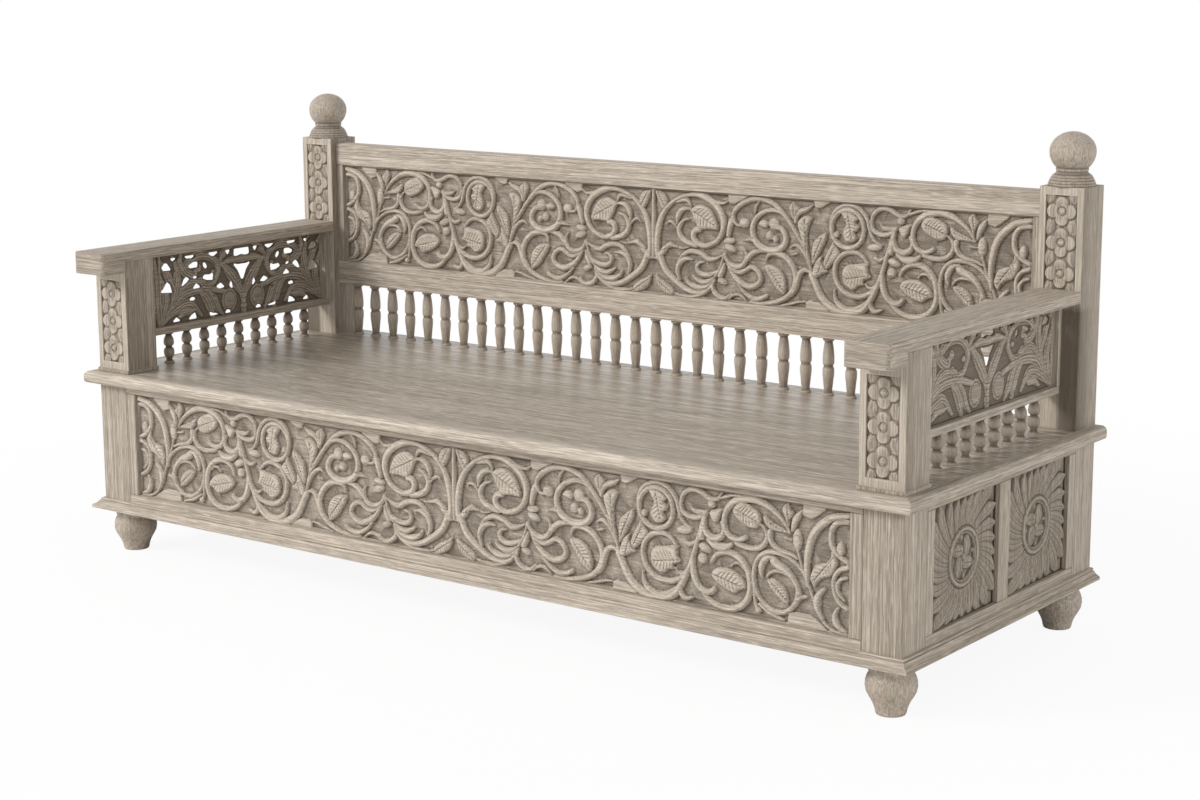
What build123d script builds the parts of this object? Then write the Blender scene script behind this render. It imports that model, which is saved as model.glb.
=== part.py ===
from build123d import *
from math import pi
import os

os.makedirs("parts", exist_ok=True)

# Persian takht: a carved wooden daybed. X runs along the length, -Y is the open front, +Z is up.
# The origin is on the floor under the middle of the whole outline. All sizes are millimetres.

# --- overall ---------------------------------------------------------------------------------
body_length = 2000.0          # base body, over the corner posts
body_depth = 730.0
foot_height = 95.0
body_top = 374.0              # top of the base frame, underside of the seat
seat_thickness = 26.0
seat_overhang = 25.0          # seat nosing past the body, on the front and both ends
arm_overhang = 58.0           # how far the arm rest stands in front of its post
fit = 0.2                     # clearance of a wood joint, per face
hole_fit = 0.15               # extra radius of a hole over its dowel

seat_top = body_top + seat_thickness
outline_depth = arm_overhang + body_depth
front_y = arm_overhang - outline_depth / 2
back_y = front_y + body_depth
end_x = body_length / 2

# --- base framing ----------------------------------------------------------------------------
corner = 80.0                 # square corner post
stile_width = 26.0            # panel frame stile beside a corner post
muntin_width = 42.0           # upright between the two end panels
top_rail_height = 16.0
top_rail_depth = 60.0
bottom_rail_height = 40.0
frame_depth = 40.0            # thickness of bottom rails, stiles and muntins
panel_setback = 3.0           # carved face behind the frame face
panel_thickness = 24.0
tongue_thickness = 10.0       # tongue round every panel
tongue_length = 8.0
carving_depth = 10.0          # ground of every carved panel, cut back from its face
tenon_length = 20.0
tenon_thickness = 12.0
tenon_setback = 14.0          # first face of a tenon behind the frame face
tenon_shoulder = 4.0          # shoulder above and below a rail tenon
stub_width = 14.0             # stub tenon on a stile end

opening_bottom = foot_height + bottom_rail_height
opening_top = body_top - top_rail_height
tongue_setback = panel_setback + (panel_thickness - tongue_thickness) / 2

# --- mouldings -------------------------------------------------------------------------------
base_overhang = 22.0
base_moulding = 22.0          # height of the base moulding
mitre_gap = 0.1
top_round = 11.0              # rounded edges of the seat nosing
under_round = 7.0
seat_tongue = 8.0             # tongue of the seat board in the nosing
seat_tongue_height = 10.0
bearer_width = 44.0           # cross bars under the seat
bearer_height = 56.0
bearer_pitch = 500.0
bearer_count = 3

# --- posts, arms and back --------------------------------------------------------------------
post_width = 92.0             # along X, arm and back posts alike
arm_post_depth = 84.0
back_post_depth = 82.0
back_post_top = 860.0
arm_top = 667.0
arm_thickness = 23.0          # arm rest behind its nose
nose_thickness = 46.5
nose_round = 9.0
arm_ease = 3.0
field_width = 64.0            # sunk field for the rosettes on the posts
field_depth = 7.0
rosette_pitch = 59.0
rosette_count = 3
rosette_height = 5.0          # petals, from the ground of the field
button_height = 6.5           # button in the middle of a rosette
button_radius = 6.5
petal_radius = 11.5
petal_ring = 15.5             # circle of the petal centres
petals = 5
arm_field_bottom = 424.0
shoe_height = 8.0             # small ledge at the foot of each arm post
shoe_reach = 3.0

fill_thickness = 34.0         # frames between the posts
arm_fill_inset = 38.0         # arm filling in from the body end
arm_rail_bottom = 469.0
arm_rail_height = 15.0
arm_stile_width = 27.0
arm_panel_thickness = 12.0
arm_tongue_thickness = 6.0
arm_tongue = 6.0
arm_tenon = 12.0              # tenons of the lower arm rail
arm_tenon_cheek = 8.0
arm_tenon_shoulder = 3.0
rest_tenon = 15.0             # tenon of the arm rest in the back post
rest_tenon_width = 40.0
rest_tenon_shoulder = 6.0
post_stub = 12.0              # stub tenon of the arm post in the arm rest

back_fill_setback = 16.0      # back frame behind the post faces
back_rail_top = 849.0
back_rail_height = 50.0
back_mid_bottom = 520.0
back_mid_height = 53.0
back_stile_width = 20.0
back_tenon = 20.0
back_tenon_cheek = 11.0
back_tenon_shoulder = 10.0
back_stile_tongue = 6.0       # tongue of the end stiles in the back posts

post_dowel = 15.0             # radius of the dowel under each post
post_dowel_depth = 34.0       # into the corner post, below the seat board
foot_dowel = 14.0
foot_dowel_depth = 40.0
finial_dowel = 9.0
finial_dowel_depth = 25.0
pin_radius = 5.0              # turned pins on the spindles
seat_pin = 10.0
rail_pin = 5.0
ring_height = 4.5             # foot and cap rings of the spindles
back_pitch = 54.0
arm_pitch = 53.4
spindle_end = 43.0            # least distance from a post to the axis of a spindle
foot_inset = 44.0             # foot axis from both body faces

arm_under = arm_top - arm_thickness
post_inner_x = end_x - post_width
post_centre_x = end_x - post_width / 2
back_post_front = back_y - back_post_depth
arm_post_back = front_y + arm_post_depth
arm_fill_x = end_x - arm_fill_inset - fill_thickness / 2
arm_rail_top = arm_rail_bottom + arm_rail_height
back_fill_y = back_post_front + back_fill_setback
back_fill_mid = back_fill_y + fill_thickness / 2
back_panel_bottom = back_mid_bottom + back_mid_height
back_panel_top = back_rail_top - back_rail_height


def block(x, y, z):
    """Box from three (low, high) pairs."""
    size = (x[1] - x[0], y[1] - y[0], z[1] - z[0])
    middle = ((x[0] + x[1]) / 2, (y[0] + y[1]) / 2, (z[0] + z[1]) / 2)
    return Pos(*middle) * Box(*size)


def turned(profile):
    """Solid of revolution about Z from (radius, height) points, lowest first."""
    points = [(0, profile[0][1]), *profile, (0, profile[-1][1])]
    face = make_face(Plane.XZ * Polyline(*points, close=True))
    return revolve(face, Axis.Z)


def rod(x, y, z, radius):
    """Upright round bar between the two heights in z."""
    return Pos(x, y, (z[0] + z[1]) / 2) * Cylinder(radius, z[1] - z[0])


def grow(pair, by):
    """A (low, high) pair made longer by the same amount at both ends."""
    return (pair[0] - by, pair[1] + by)


def save(name, *solids):
    """Write one node of one or more separate solids."""
    shape = solids[0] if len(solids) == 1 else Compound(children=list(solids))
    export_step(shape, f"parts/{name}.step")


# --- carved panels ----------------------------------------------------------------------------
# Scrollwork of the two long panels: half of the design, right of the middle, as (x, z) points
# over a panel of the drawn size. A stem has a smooth middle line, and radii given evenly along it.
drawn_scroll_length = 1788.0
drawn_scroll_height = 223.0
scroll_stems = [
    # upright in the middle
    ((5, 5), [(0, 76), (0, 201)]),
    # first scroll, and the curls inside it
    (
        (7, 8, 8, 5, 5, 8, 8, 6, 6, 7),
        [(11, 78), (9, 114), (17, 155), (40, 189), (80, 211), (130, 212), (165, 192), (179, 160)]
        + [(166, 126), (134, 111), (107, 122), (109, 140)],
    ),
    ((3, 6, 7, 6), [(91, 164), (70, 152), (70, 128), (102, 110)]),
    ((8, 7, 6, 5), [(16, 86), (31, 54), (60, 31), (98, 13), (139, 18), (160, 50), (178, 88)]),
    # acanthus under it
    ((2, 6, 6, 3), [(176, 94), (142, 84), (110, 97), (66, 76)]),
    ((2, 7, 5), [(102, 80), (66, 66), (67, 36)]),
    ((3, 7, 4), [(154, 38), (122, 23), (86, 39)]),
    # stalk and loops between the first two scrolls
    ((3, 8, 7, 6), [(203, 176), (197, 156), (192, 138)]),
    ((4, 6, 3), [(184, 96), (208, 75), (236, 100)]),
    ((3, 5, 6, 7, 4), [(190, 77), (219, 63), (250, 75), (273, 53), (245, 35), (208, 54)]),
    # second scroll and its ring
    (
        (3, 6, 6, 5, 4),
        [(222, 159), (204, 180), (219, 201), (258, 216), (298, 211), (335, 183), (374, 134), (396, 78)],
    ),
    (
        (5, 6, 8, 8, 6),
        [(330, 188), (290, 194), (256, 170), (260, 130), (298, 113), (331, 132), (322, 160)],
    ),
    # third scroll
    ((3, 7, 7, 4), [(288, 94), (318, 108), (353, 84), (352, 36), (310, 8), (250, 6)]),
    # long stem of the fourth scroll, with a ring above and a ring below
    (
        (8, 10, 8, 5, 4),
        [(397, 72), (412, 44), (440, 13), (482, 4), (523, 16), (556, 72), (578, 141), (592, 176)],
    ),
    (
        (4, 6, 6, 4),
        [(519, 173), (500, 203), (462, 203), (443, 170), (462, 137), (500, 137), (517, 160)],
    ),
    (
        (4, 6, 6, 5),
        [(528, 104), (503, 124), (466, 116), (452, 80), (472, 46), (508, 37), (552, 66)],
    ),
    ((5, 7, 6), [(563, 90), (574, 42), (609, 38)]),
    # tulip and its cup
    ((4, 6, 6, 3), [(538, 186), (540, 202), (563, 215), (606, 203), (624, 216)]),
    ((4, 6, 5), [(538, 185), (560, 164), (592, 177)]),
    ((4, 7, 3), [(590, 170), (592, 140), (622, 138), (625, 164)]),
    # great scroll
    ((3, 8, 8, 6, 5), [(768, 168), (735, 201), (686, 216), (640, 194), (633, 155), (676, 142)]),
    ((5, 6, 2), [(656, 131), (706, 130), (719, 162)]),
    ((6, 5, 3), [(727, 162), (738, 136), (784, 122)]),
    # ring round the low leaf, and the spiral beside it
    ((4, 7, 7, 5), [(604, 88), (641, 111), (682, 82), (680, 30), (631, 7), (584, 32)]),
    (
        (3, 5, 5, 3),
        [(806, 80), (768, 120), (712, 119), (695, 72), (727, 23), (776, 34), (779, 78), (740, 92)],
    ),
    # end of the panel
    ((5, 8, 8, 6), [(806, 78), (804, 130), (830, 190), (886, 214)]),
    ((5, 6, 5), [(886, 202), (854, 168), (886, 131)]),
    ((5, 6, 5), [(886, 122), (858, 86), (886, 48)]),
    ((3, 4, 4), [(785, 136), (818, 55), (843, 14), (886, 2)]),
]
scroll_leaves = [
    [(5, 218), (26, 215), (36, 192), (20, 184)],
    [(6, 42), (37, 26), (55, 7), (30, 4)],
    [(95, 184), (130, 195), (156, 180), (167, 147), (119, 145)],
    [(391, 100), (386, 160), (395, 188), (364, 178), (378, 130)],
    [(398, 92), (400, 137), (430, 160), (426, 134)],
    [(399, 70), (408, 104), (421, 112), (437, 81)],
    [(283, 82), (319, 78), (337, 44), (333, 26), (304, 44)],
    [(465, 202), (492, 202), (507, 176), (494, 144), (472, 152)],
    [(447, 143), (464, 120), (431, 86), (426, 106)],
    [(526, 105), (537, 78), (490, 50), (472, 80)],
    [(648, 190), (668, 208), (706, 192), (690, 162)],
    [(603, 66), (627, 82), (665, 73), (679, 50), (640, 40)],
    [(722, 75), (747, 75), (768, 43), (738, 52)],
    [(853, 148), (866, 120), (820, 76), (813, 102), (838, 124)],
]


def stem(radii, points):
    """Face of one carved stem."""
    middle = Spline(*points) if len(points) > 2 else Line(*points)
    count = len(points)
    left, right = [], []
    for i in range(count + 1):
        share = i / count
        k = min(int(share * (len(radii) - 1)), len(radii) - 2)
        radius = radii[k] + (share * (len(radii) - 1) - k) * (radii[k + 1] - radii[k])
        place, along = middle @ share, middle % share
        left.append((place.X - radius * along.Y, place.Y + radius * along.X))
        right.insert(0, (place.X + radius * along.Y, place.Y - radius * along.X))
    edges = [Spline(*left), Line(left[-1], right[0]), Spline(*right), Line(right[-1], left[0])]
    return make_face(edges)


def scrollwork(length, height):
    """Raised shapes of a long panel, lying in XY with the middle of the lower edge at zero."""
    stretch_x = length / drawn_scroll_length
    stretch_z = height / drawn_scroll_height
    shapes = []
    for radii, points in scroll_stems:
        shapes.append(stem(radii, [(x * stretch_x, z * stretch_z) for x, z in points]))
    for outline in scroll_leaves:
        points = [(x * stretch_x, z * stretch_z) for x, z in outline]
        shapes.append(make_face(Polyline(*points, close=True)))
    field = Pos(length / 4, height / 2) * Rectangle(length / 2, height - 2 * fit)
    half = (Sketch() + shapes) & field
    raised = extrude(half, carving_depth)
    return [raised, mirror(raised, about=Plane.YZ)]


# Sun of the end panels: a ring round four almond lobes, with pointed petals swirling out of it
# to the border. Heights are from the ground.
ring_outer = 60.0
ring_inner = 46.0
sun_ring_height = 7.0
sun_petals = 26
petal_height = 9.0
petal_swirl = 16.0            # degrees from the foot of a petal to its tip
petal_foot = 5.5              # half widths of a petal
petal_belly = 0.95            # share of the room between two petals, at the belly
belly_share = 0.62            # belly between the foot and the tip
border = 3.0                  # petal tips in from the edge of the panel
lobe_length = 26.0
lobe_width = 18.0
lobe_offset = 23.0            # from the middle of the ring
lobe_lean = 50.0              # of a lobe's long axis from its own radius, in degrees
lobes = 4


def sun(length, height):
    """Raised shapes of an end panel, lying in XY with the middle of the lower edge at zero."""
    centre = Vector(0, height / 2)
    half_x, half_z = length / 2 - border, height / 2 - border
    raised = []
    for i in range(sun_petals):
        start = i * 360 / sun_petals
        foot = Vector(1, 0).rotate(Axis.Z, start)
        out = Vector(1, 0).rotate(Axis.Z, start - petal_swirl)
        tip = out * (1 / max(abs(out.X) / half_x, abs(out.Y) / half_z))
        base = foot * (ring_outer - 1)
        side = (tip - base).normalized().rotate(Axis.Z, 90)
        belly = base + (tip - base) * belly_share
        belly_half = belly.length * pi / sun_petals * petal_belly
        outline = [
            base + side * petal_foot,
            belly + side * belly_half,
            tip,
            belly - side * belly_half,
            base - side * petal_foot,
        ]
        points = [(p.X, p.Y) for p in outline]
        raised.append(Pos(centre) * extrude(make_face(Polyline(*points, close=True)), petal_height))
    band = Circle(ring_outer) - Circle(ring_inner)
    raised.append(Pos(centre) * extrude(band, sun_ring_height))
    lobe = extrude(Rot(0, 0, lobe_lean) * Ellipse(lobe_length / 2, lobe_width / 2), sun_ring_height)
    for i in range(lobes):
        turn = Rot(0, 0, (i + 0.5) * 360 / lobes)
        raised.append(Pos(centre) * turn * Pos(lobe_offset, 0) * lobe)
    return raised


def carve(panel, x, z, face_y, raised):
    """Cut the ground of a panel back between the pairs x and z, and stand the shapes on it."""
    ground_y = face_y + carving_depth
    panel -= block(x, (face_y - carving_depth, ground_y), z)
    place = Pos((x[0] + x[1]) / 2, ground_y, z[0]) * Rot(90, 0, 0)
    return panel + [place * shape for shape in raised]


# --- base: four framed sides between four corner posts ---------------------------------------
# Each side is drawn lying along X with its outer face on y = 0, then turned to its place.
tongue_y = (tongue_setback, tongue_setback + tongue_thickness)
panel_y = (panel_setback, panel_setback + panel_thickness)
tenon_y = (tenon_setback, tenon_setback + tenon_thickness)
top_rail_z = (opening_top, body_top)
bottom_rail_z = (foot_height, opening_bottom)


def rail_tenons(half, z, grown=0.0):
    """Both end tenons of a base rail, or their mortises when grown."""
    reach = half + tenon_length + grown
    z = grow(z, grown - tenon_shoulder)
    y = grow(tenon_y, grown)
    return [block((-reach, -half), y, z), block((half, reach), y, z)]


def framed_side(length, openings, design):
    """Rails, uprights and panels of one base side with its outer face on y = 0."""
    half = length / 2 - corner
    clear = (2 * half - 2 * stile_width - (openings - 1) * muntin_width) / openings
    lefts = [-half + stile_width + i * (clear + muntin_width) for i in range(openings)]
    opening_z = (opening_bottom, opening_top)
    grooves = [
        block(
            grow((x, x + clear), tongue_length + fit),
            grow(tongue_y, fit),
            grow(opening_z, tongue_length + fit),
        )
        for x in lefts
    ]
    uprights_x = [(-half, lefts[0])]
    uprights_x += [(x - muntin_width, x) for x in lefts[1:]]
    uprights_x += [(half - stile_width, half)]
    uprights, mortises = [], []
    for x in uprights_x:
        middle = (x[0] + x[1]) / 2
        stub = (middle - stub_width / 2, middle + stub_width / 2)
        stub_z = grow(opening_z, tongue_length)
        upright = block(x, (0, frame_depth), opening_z) + block(stub, tenon_y, stub_z)
        uprights.append(upright - grooves)
        mortises.append(block(grow(stub, fit), grow(tenon_y, fit), grow(stub_z, fit)))
    top = block((-half, half), (0, top_rail_depth), top_rail_z)
    bottom = block((-half, half), (0, frame_depth), bottom_rail_z)
    top = (top + rail_tenons(half, top_rail_z)) - grooves - mortises
    bottom = (bottom + rail_tenons(half, bottom_rail_z)) - grooves - mortises
    panels = []
    for x in lefts:
        slab_x = (x + fit, x + clear - fit)
        slab = block(slab_x, panel_y, (opening_bottom, opening_top - fit))
        tongue_x = (x - tongue_length, x + clear + tongue_length)
        slab += block(tongue_x, tongue_y, grow(opening_z, tongue_length))
        if design:
            height = opening_top - opening_bottom
            slab = carve(slab, (x, x + clear), opening_z, panel_setback, design(clear, height))
        panels.append(slab)
    return top, bottom, uprights, panels


side_places = {
    "front": Pos(0, front_y, 0),
    "back": Pos(0, back_y, 0) * Rot(0, 0, 180),
    "left": Pos(-end_x, (front_y + back_y) / 2, 0) * Rot(0, 0, -90),
    "right": Pos(end_x, (front_y + back_y) / 2, 0) * Rot(0, 0, 90),
}
side_lengths = {"front": body_length, "back": body_length, "left": body_depth, "right": body_depth}
side_designs = {"front": scrollwork, "back": None, "left": sun, "right": sun}
for side, place in side_places.items():
    panel_count = 1 if side in ("front", "back") else 2
    pieces = framed_side(side_lengths[side], panel_count, side_designs[side])
    top, bottom, uprights, panels = pieces
    save(f"{side}_top_rail", place * top)
    save(f"{side}_bottom_rail", place * bottom)
    save(f"{side}_frame_uprights", *[place * piece for piece in uprights])
    save(f"{side}_base_panels", *[place * piece for piece in panels])

# Corner posts: mortised for the rails, bored below for the foot and above for the post dowel.
for x_name, sx in (("left", -1), ("right", 1)):
    for y_name, sy in (("front", -1), ("back", 1)):
        face_y = front_y if sy < 0 else back_y
        x = sorted((sx * end_x, sx * (end_x - corner)))
        y = sorted((face_y, face_y - sy * corner))
        post = block(x, y, (foot_height, body_top))
        for side in (y_name, x_name):
            half = side_lengths[side] / 2 - corner
            for z in (top_rail_z, bottom_rail_z):
                post -= [side_places[side] * cut for cut in rail_tenons(half, z, fit)]
        foot_x = sx * (end_x - foot_inset)
        foot_y = face_y - sy * foot_inset
        socket = (foot_height, foot_height + foot_dowel_depth + fit)
        post -= rod(foot_x, foot_y, socket, foot_dowel + hole_fit)
        depth = arm_post_depth if sy < 0 else back_post_depth
        socket = (body_top - post_dowel_depth - fit, body_top)
        post -= rod(sx * post_centre_x, face_y - sy * depth / 2, socket, post_dowel + hole_fit)
        save(f"corner_post_{y_name}_{x_name}", post)

# Feet: turned bulb on a tapered toe, with a straight collar and a dowel above. The turning is
# (radius, share of the foot's height).
foot_turning = [
    (26.0, 0),
    (27.5, 0.03),
    (28.6, 0.095),
    (31.0, 0.174),
    (35.0, 0.263),
    (40.2, 0.353),
    (44.5, 0.442),
    (46.2, 0.542),
    (45.6, 0.632),
    (43.3, 0.716),
    (38.6, 0.805),
    (40.8, 0.832),
    (41.5, 1),
]
foot_profile = [(radius, share * foot_height) for radius, share in foot_turning]
foot_profile += [(foot_dowel, foot_height), (foot_dowel, foot_height + foot_dowel_depth)]
foot = turned(foot_profile)
for x_name, sx in (("left", -1), ("right", 1)):
    for y_name, face_y, sy in (("front", front_y, -1), ("back", back_y, 1)):
        place = Pos(sx * (end_x - foot_inset), face_y - sy * foot_inset, 0)
        save(f"foot_{y_name}_{x_name}", place * foot)


# --- edge mouldings on the front and both ends ------------------------------------------------
def edge_strip(profile, side, reach):
    """Moulding on one side of the body: mitred at the front corners, flush at the back.
    The profile is a face of (outward, height) drawn in the YZ plane."""
    inner = side_lengths[side] / 2 - mitre_gap
    outer = inner + reach
    back = inner + mitre_gap
    left_out, left_in = (-outer, -inner) if side != "left" else (-back, -back)
    right_out, right_in = (outer, inner) if side != "right" else (back, back)
    bar = Pos(-outer, 0, 0) * extrude(profile, 2 * outer, dir=(1, 0, 0))
    low, high = profile.bounding_box().min.Z, profile.bounding_box().max.Z
    corners = [(left_in, 0), (left_out, -reach), (right_out, -reach), (right_in, 0)]
    wedge = extrude(make_face(Polyline(*corners, close=True)), high - low, dir=(0, 0, 1))
    return side_places[side] * (bar & (Pos(0, 0, low) * wedge))


def outward(points, base):
    """Points of (distance out, height above base) placed in the YZ plane, outward along -Y."""
    return [(0, -t, base + h) for t, h in points]


# Base moulding: small top bead over a broad rounded face.
moulding_edge = outward(
    [
        (0, 0),
        (base_overhang - 1.5, 0),
        (base_overhang, 2),
        (base_overhang, 9),
        (19.0, 13.6),
        (13.0, 16.6),
        (11.2, 15.8),
        (9.5, 18.6),
        (3.5, base_moulding),
        (0, base_moulding),
    ],
    foot_height,
)
moulding_face = make_face(Polyline(*moulding_edge, close=True))

# Seat nosing: rounded outer edge, grooved at the back for the tongue of the seat board.
round_mid = 1 - 0.5 ** 0.5    # middle of a quarter round, as a share of its radius
groove_low = (seat_thickness - seat_tongue_height) / 2
groove_high = groove_low + seat_tongue_height
nose = outward(
    [
        (0, 0),
        (seat_overhang - under_round, 0),
        (seat_overhang, under_round),
        (seat_overhang, seat_thickness - top_round),
        (seat_overhang - top_round, seat_thickness),
        (0, seat_thickness),
        (0, groove_high + fit),
        (seat_tongue + fit, groove_high + fit),
        (seat_tongue + fit, groove_low - fit),
        (0, groove_low - fit),
    ],
    body_top,
)
under_arc, top_arc = outward(
    [
        (seat_overhang - under_round * round_mid, under_round * round_mid),
        (seat_overhang - top_round * round_mid, seat_thickness - top_round * round_mid),
    ],
    body_top,
)
nosing_edge = [
    Line(nose[0], nose[1]),
    ThreePointArc(nose[1], under_arc, nose[2]),
    Line(nose[2], nose[3]),
    ThreePointArc(nose[3], top_arc, nose[4]),
    Polyline(*nose[4:], nose[0]),
]
nosing_face = make_face(nosing_edge)
for side in ("front", "left", "right"):
    save(f"base_moulding_{side}", edge_strip(moulding_face, side, base_overhang))
    save(f"seat_nosing_{side}", edge_strip(nosing_face, side, seat_overhang))

# --- spindles --------------------------------------------------------------------------------
arm_gap = (arm_post_back, back_post_front)
back_x = (-post_inner_x, post_inner_x)
pin_hole = pin_radius + hole_fit


def spindle(clear, foot_ring, cap_ring, shaft):
    """Turned spindle between two rings, with a pin at both ends, standing on the seat.
    The shaft is (radius, share of the clear height) points."""
    profile = [
        (pin_radius, seat_top - seat_pin),
        (pin_radius, seat_top),
        (foot_ring, seat_top),
        (foot_ring, seat_top + ring_height),
    ]
    profile += [(radius, seat_top + share * clear) for radius, share in shaft]
    profile += [
        (cap_ring, seat_top + clear - ring_height),
        (cap_ring, seat_top + clear),
        (pin_radius, seat_top + clear),
        (pin_radius, seat_top + clear + rail_pin),
    ]
    return turned(profile)


def spaced(gap, pitch):
    """Places between two posts, centred in the gap: as many as fit at the pitch."""
    spaces = int((gap[1] - gap[0] - 2 * spindle_end) / pitch)
    middle = (gap[0] + gap[1]) / 2
    return [middle + (i - spaces / 2) * pitch for i in range(spaces + 1)]


# Back spindle: two long bellies meeting at a waist.
back_shaft = [
    (8.7, 0.08),
    (10.4, 0.25),
    (12.1, 0.425),
    (9.9, 0.512),
    (12.1, 0.617),
    (11.3, 0.75),
    (8.9, 0.917),
]
# Arm spindle: two short barrels meeting at a waist.
arm_shaft = [
    (7.8, 0.152),
    (10.6, 0.29),
    (10.9, 0.42),
    (8.3, 0.55),
    (10.9, 0.667),
    (10.5, 0.783),
]
back_spindle = spindle(back_mid_bottom - seat_top, 11.7, 11.2, back_shaft)
arm_spindle = spindle(arm_rail_bottom - seat_top, 10.2, 8.4, arm_shaft)
arm_ys = spaced(arm_gap, arm_pitch)
back_spots = [(x, back_fill_mid) for x in spaced(back_x, back_pitch)]
arm_spots = {
    "left": [(-arm_fill_x, y) for y in arm_ys],
    "right": [(arm_fill_x, y) for y in arm_ys],
}
save("back_spindles", *[Pos(x, y, 0) * back_spindle for x, y in back_spots])
for end, spots in arm_spots.items():
    save(f"arm_spindles_{end}", *[Pos(x, y, 0) * arm_spindle for x, y in spots])

# --- seat ------------------------------------------------------------------------------------
board_z = (body_top, seat_top)
tongue_z = (body_top + groove_low, body_top + groove_low + seat_tongue_height)
seat_x = (-end_x, end_x)
seat_y = (front_y, back_y)
seat = block(seat_x, seat_y, board_z)
seat += block(grow(seat_x, seat_tongue), (front_y - seat_tongue, back_y), tongue_z)
pin_z = (seat_top - seat_pin - fit, seat_top)
pin_spots = back_spots + arm_spots["left"] + arm_spots["right"]
seat -= [rod(x, y, pin_z, pin_hole) for x, y in pin_spots]
for sx in (-1, 1):
    for y in (front_y + arm_post_depth / 2, back_y - back_post_depth / 2):
        seat -= rod(sx * post_centre_x, y, board_z, post_dowel + hole_fit)
save("seat_board", seat)

# Bearers: cross bars under the seat, notched at both ends under the long top rails.
bearer_y = grow(seat_y, -panel_setback - panel_thickness - 1)
bearers = []
for i in range(bearer_count):
    x = (i - (bearer_count - 1) / 2) * bearer_pitch
    x_pair = (x - bearer_width / 2, x + bearer_width / 2)
    bar = block(x_pair, bearer_y, (body_top - bearer_height, body_top))
    for face_y, sy in ((front_y, -1), (back_y, 1)):
        y = sorted((face_y, face_y - sy * (top_rail_depth + fit)))
        bar -= block(x_pair, y, (opening_top, body_top))
    bearers.append(bar)
save("seat_bearers", *bearers)

# --- arms and back ---------------------------------------------------------------------------
arm_fill = (arm_fill_x - fill_thickness / 2, arm_fill_x + fill_thickness / 2)
arm_slab = (arm_fill_x - arm_panel_thickness / 2, arm_fill_x + arm_panel_thickness / 2)
arm_groove = (arm_fill_x - arm_tongue_thickness / 2, arm_fill_x + arm_tongue_thickness / 2)
arm_opening = grow(arm_gap, -arm_stile_width)
arm_panel_z = (arm_rail_top, arm_under)
lower_tenon_x = grow(arm_fill, -arm_tenon_cheek)
lower_tenon_z = grow((arm_rail_bottom, arm_rail_top), -arm_tenon_shoulder)
lower_tenon_y = grow(arm_gap, arm_tenon)
rest_tenon_x = grow((post_centre_x, post_centre_x), rest_tenon_width / 2)
rest_tenon_z = grow((arm_under, arm_top), -rest_tenon_shoulder)
rest_tenon_y = (back_post_front, back_post_front + rest_tenon)
arm_post_y = front_y + arm_post_depth / 2
post_stub_y = grow((arm_post_y, arm_post_y), rest_tenon_width / 2)
post_stub_z = (arm_under, arm_under + post_stub)
groove_z = (arm_panel_z[0] - arm_tongue - fit, arm_panel_z[1] + arm_tongue + fit)
panel_groove = block(grow(arm_groove, fit), grow(arm_opening, arm_tongue + fit), groove_z)
stile_slots = block(grow(arm_groove, fit), grow(arm_gap, arm_tongue + fit), arm_panel_z)
field_x = (post_centre_x - field_width / 2, post_centre_x + field_width / 2)
field_height = rosette_pitch * rosette_count

# Back frame, centred on x = 0: two long rails, end stiles and one long panel.
back_y_pair = (back_fill_y, back_fill_y + fill_thickness)
back_tenon_y = grow(back_y_pair, -back_tenon_cheek)
back_opening = grow(back_x, -back_stile_width)
back_panel_z = (back_panel_bottom, back_panel_top)
back_panel_y = (back_fill_y + panel_setback, back_fill_y + panel_setback + panel_thickness)
back_tongue_y = (back_fill_y + tongue_setback, back_fill_y + tongue_setback + tongue_thickness)
back_groove = block(
    grow(back_opening, tongue_length + fit),
    grow(back_tongue_y, fit),
    grow(back_panel_z, tongue_length + fit),
)
top_tenon_z = grow((back_panel_top, back_rail_top), -back_tenon_shoulder)
mid_tenon_z = grow((back_mid_bottom, back_panel_bottom), -back_tenon_shoulder)
back_rails = {
    "backrest_top_rail": ((back_panel_top, back_rail_top), top_tenon_z),
    "backrest_mid_rail": ((back_mid_bottom, back_panel_bottom), mid_tenon_z),
}
for name, (z, tenon_z) in back_rails.items():
    rail = block(back_x, back_y_pair, z)
    rail += block(grow(back_x, back_tenon), back_tenon_y, tenon_z)
    rail -= back_groove
    if name == "backrest_mid_rail":
        hole_z = (back_mid_bottom, back_mid_bottom + rail_pin + fit)
        rail -= [rod(x, y, hole_z, pin_hole) for x, y in back_spots]
    save(name, rail)
back_stiles = []
for sx in (-1, 1):
    x = sorted((sx * back_x[1], sx * back_opening[1]))
    slot_x = sorted((sx * back_x[1], sx * (back_x[1] + back_stile_tongue)))
    stile = block(x, back_y_pair, back_panel_z) + block(slot_x, back_tenon_y, back_panel_z)
    back_stiles.append(stile - back_groove)
save("backrest_stiles", *back_stiles)
slab = block(grow(back_opening, -fit), back_panel_y, (back_panel_bottom, back_panel_top - fit))
slab += block(
    grow(back_opening, tongue_length),
    back_tongue_y,
    grow(back_panel_z, tongue_length),
)
panel_height = back_panel_top - back_panel_bottom
shapes = scrollwork(2 * back_opening[1], panel_height)
save("backrest_panel", carve(slab, back_opening, back_panel_z, back_panel_y[0], shapes))

# Finial: stepped dome, beaded neck and a ball slightly flattened on top.
finial_profile = [
    (finial_dowel, -finial_dowel_depth),
    (finial_dowel, 0),
    (45.0, 0),
    (45.0, 4),
    (43.6, 10),
    (40.5, 15.5),
    (39.0, 15.5),
    (37.0, 20.5),
    (34.5, 21),
    (28.5, 27),
    (30.5, 29),
    (30.5, 33),
    (31.4, 34),
    (38.3, 43),
    (42.4, 54),
    (43.6, 65),
    (42.0, 75),
    (37.5, 84.5),
    (29.5, 93),
    (16.5, 99.5),
    (5.0, 101.3),
]
finial = turned(finial_profile)

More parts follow.
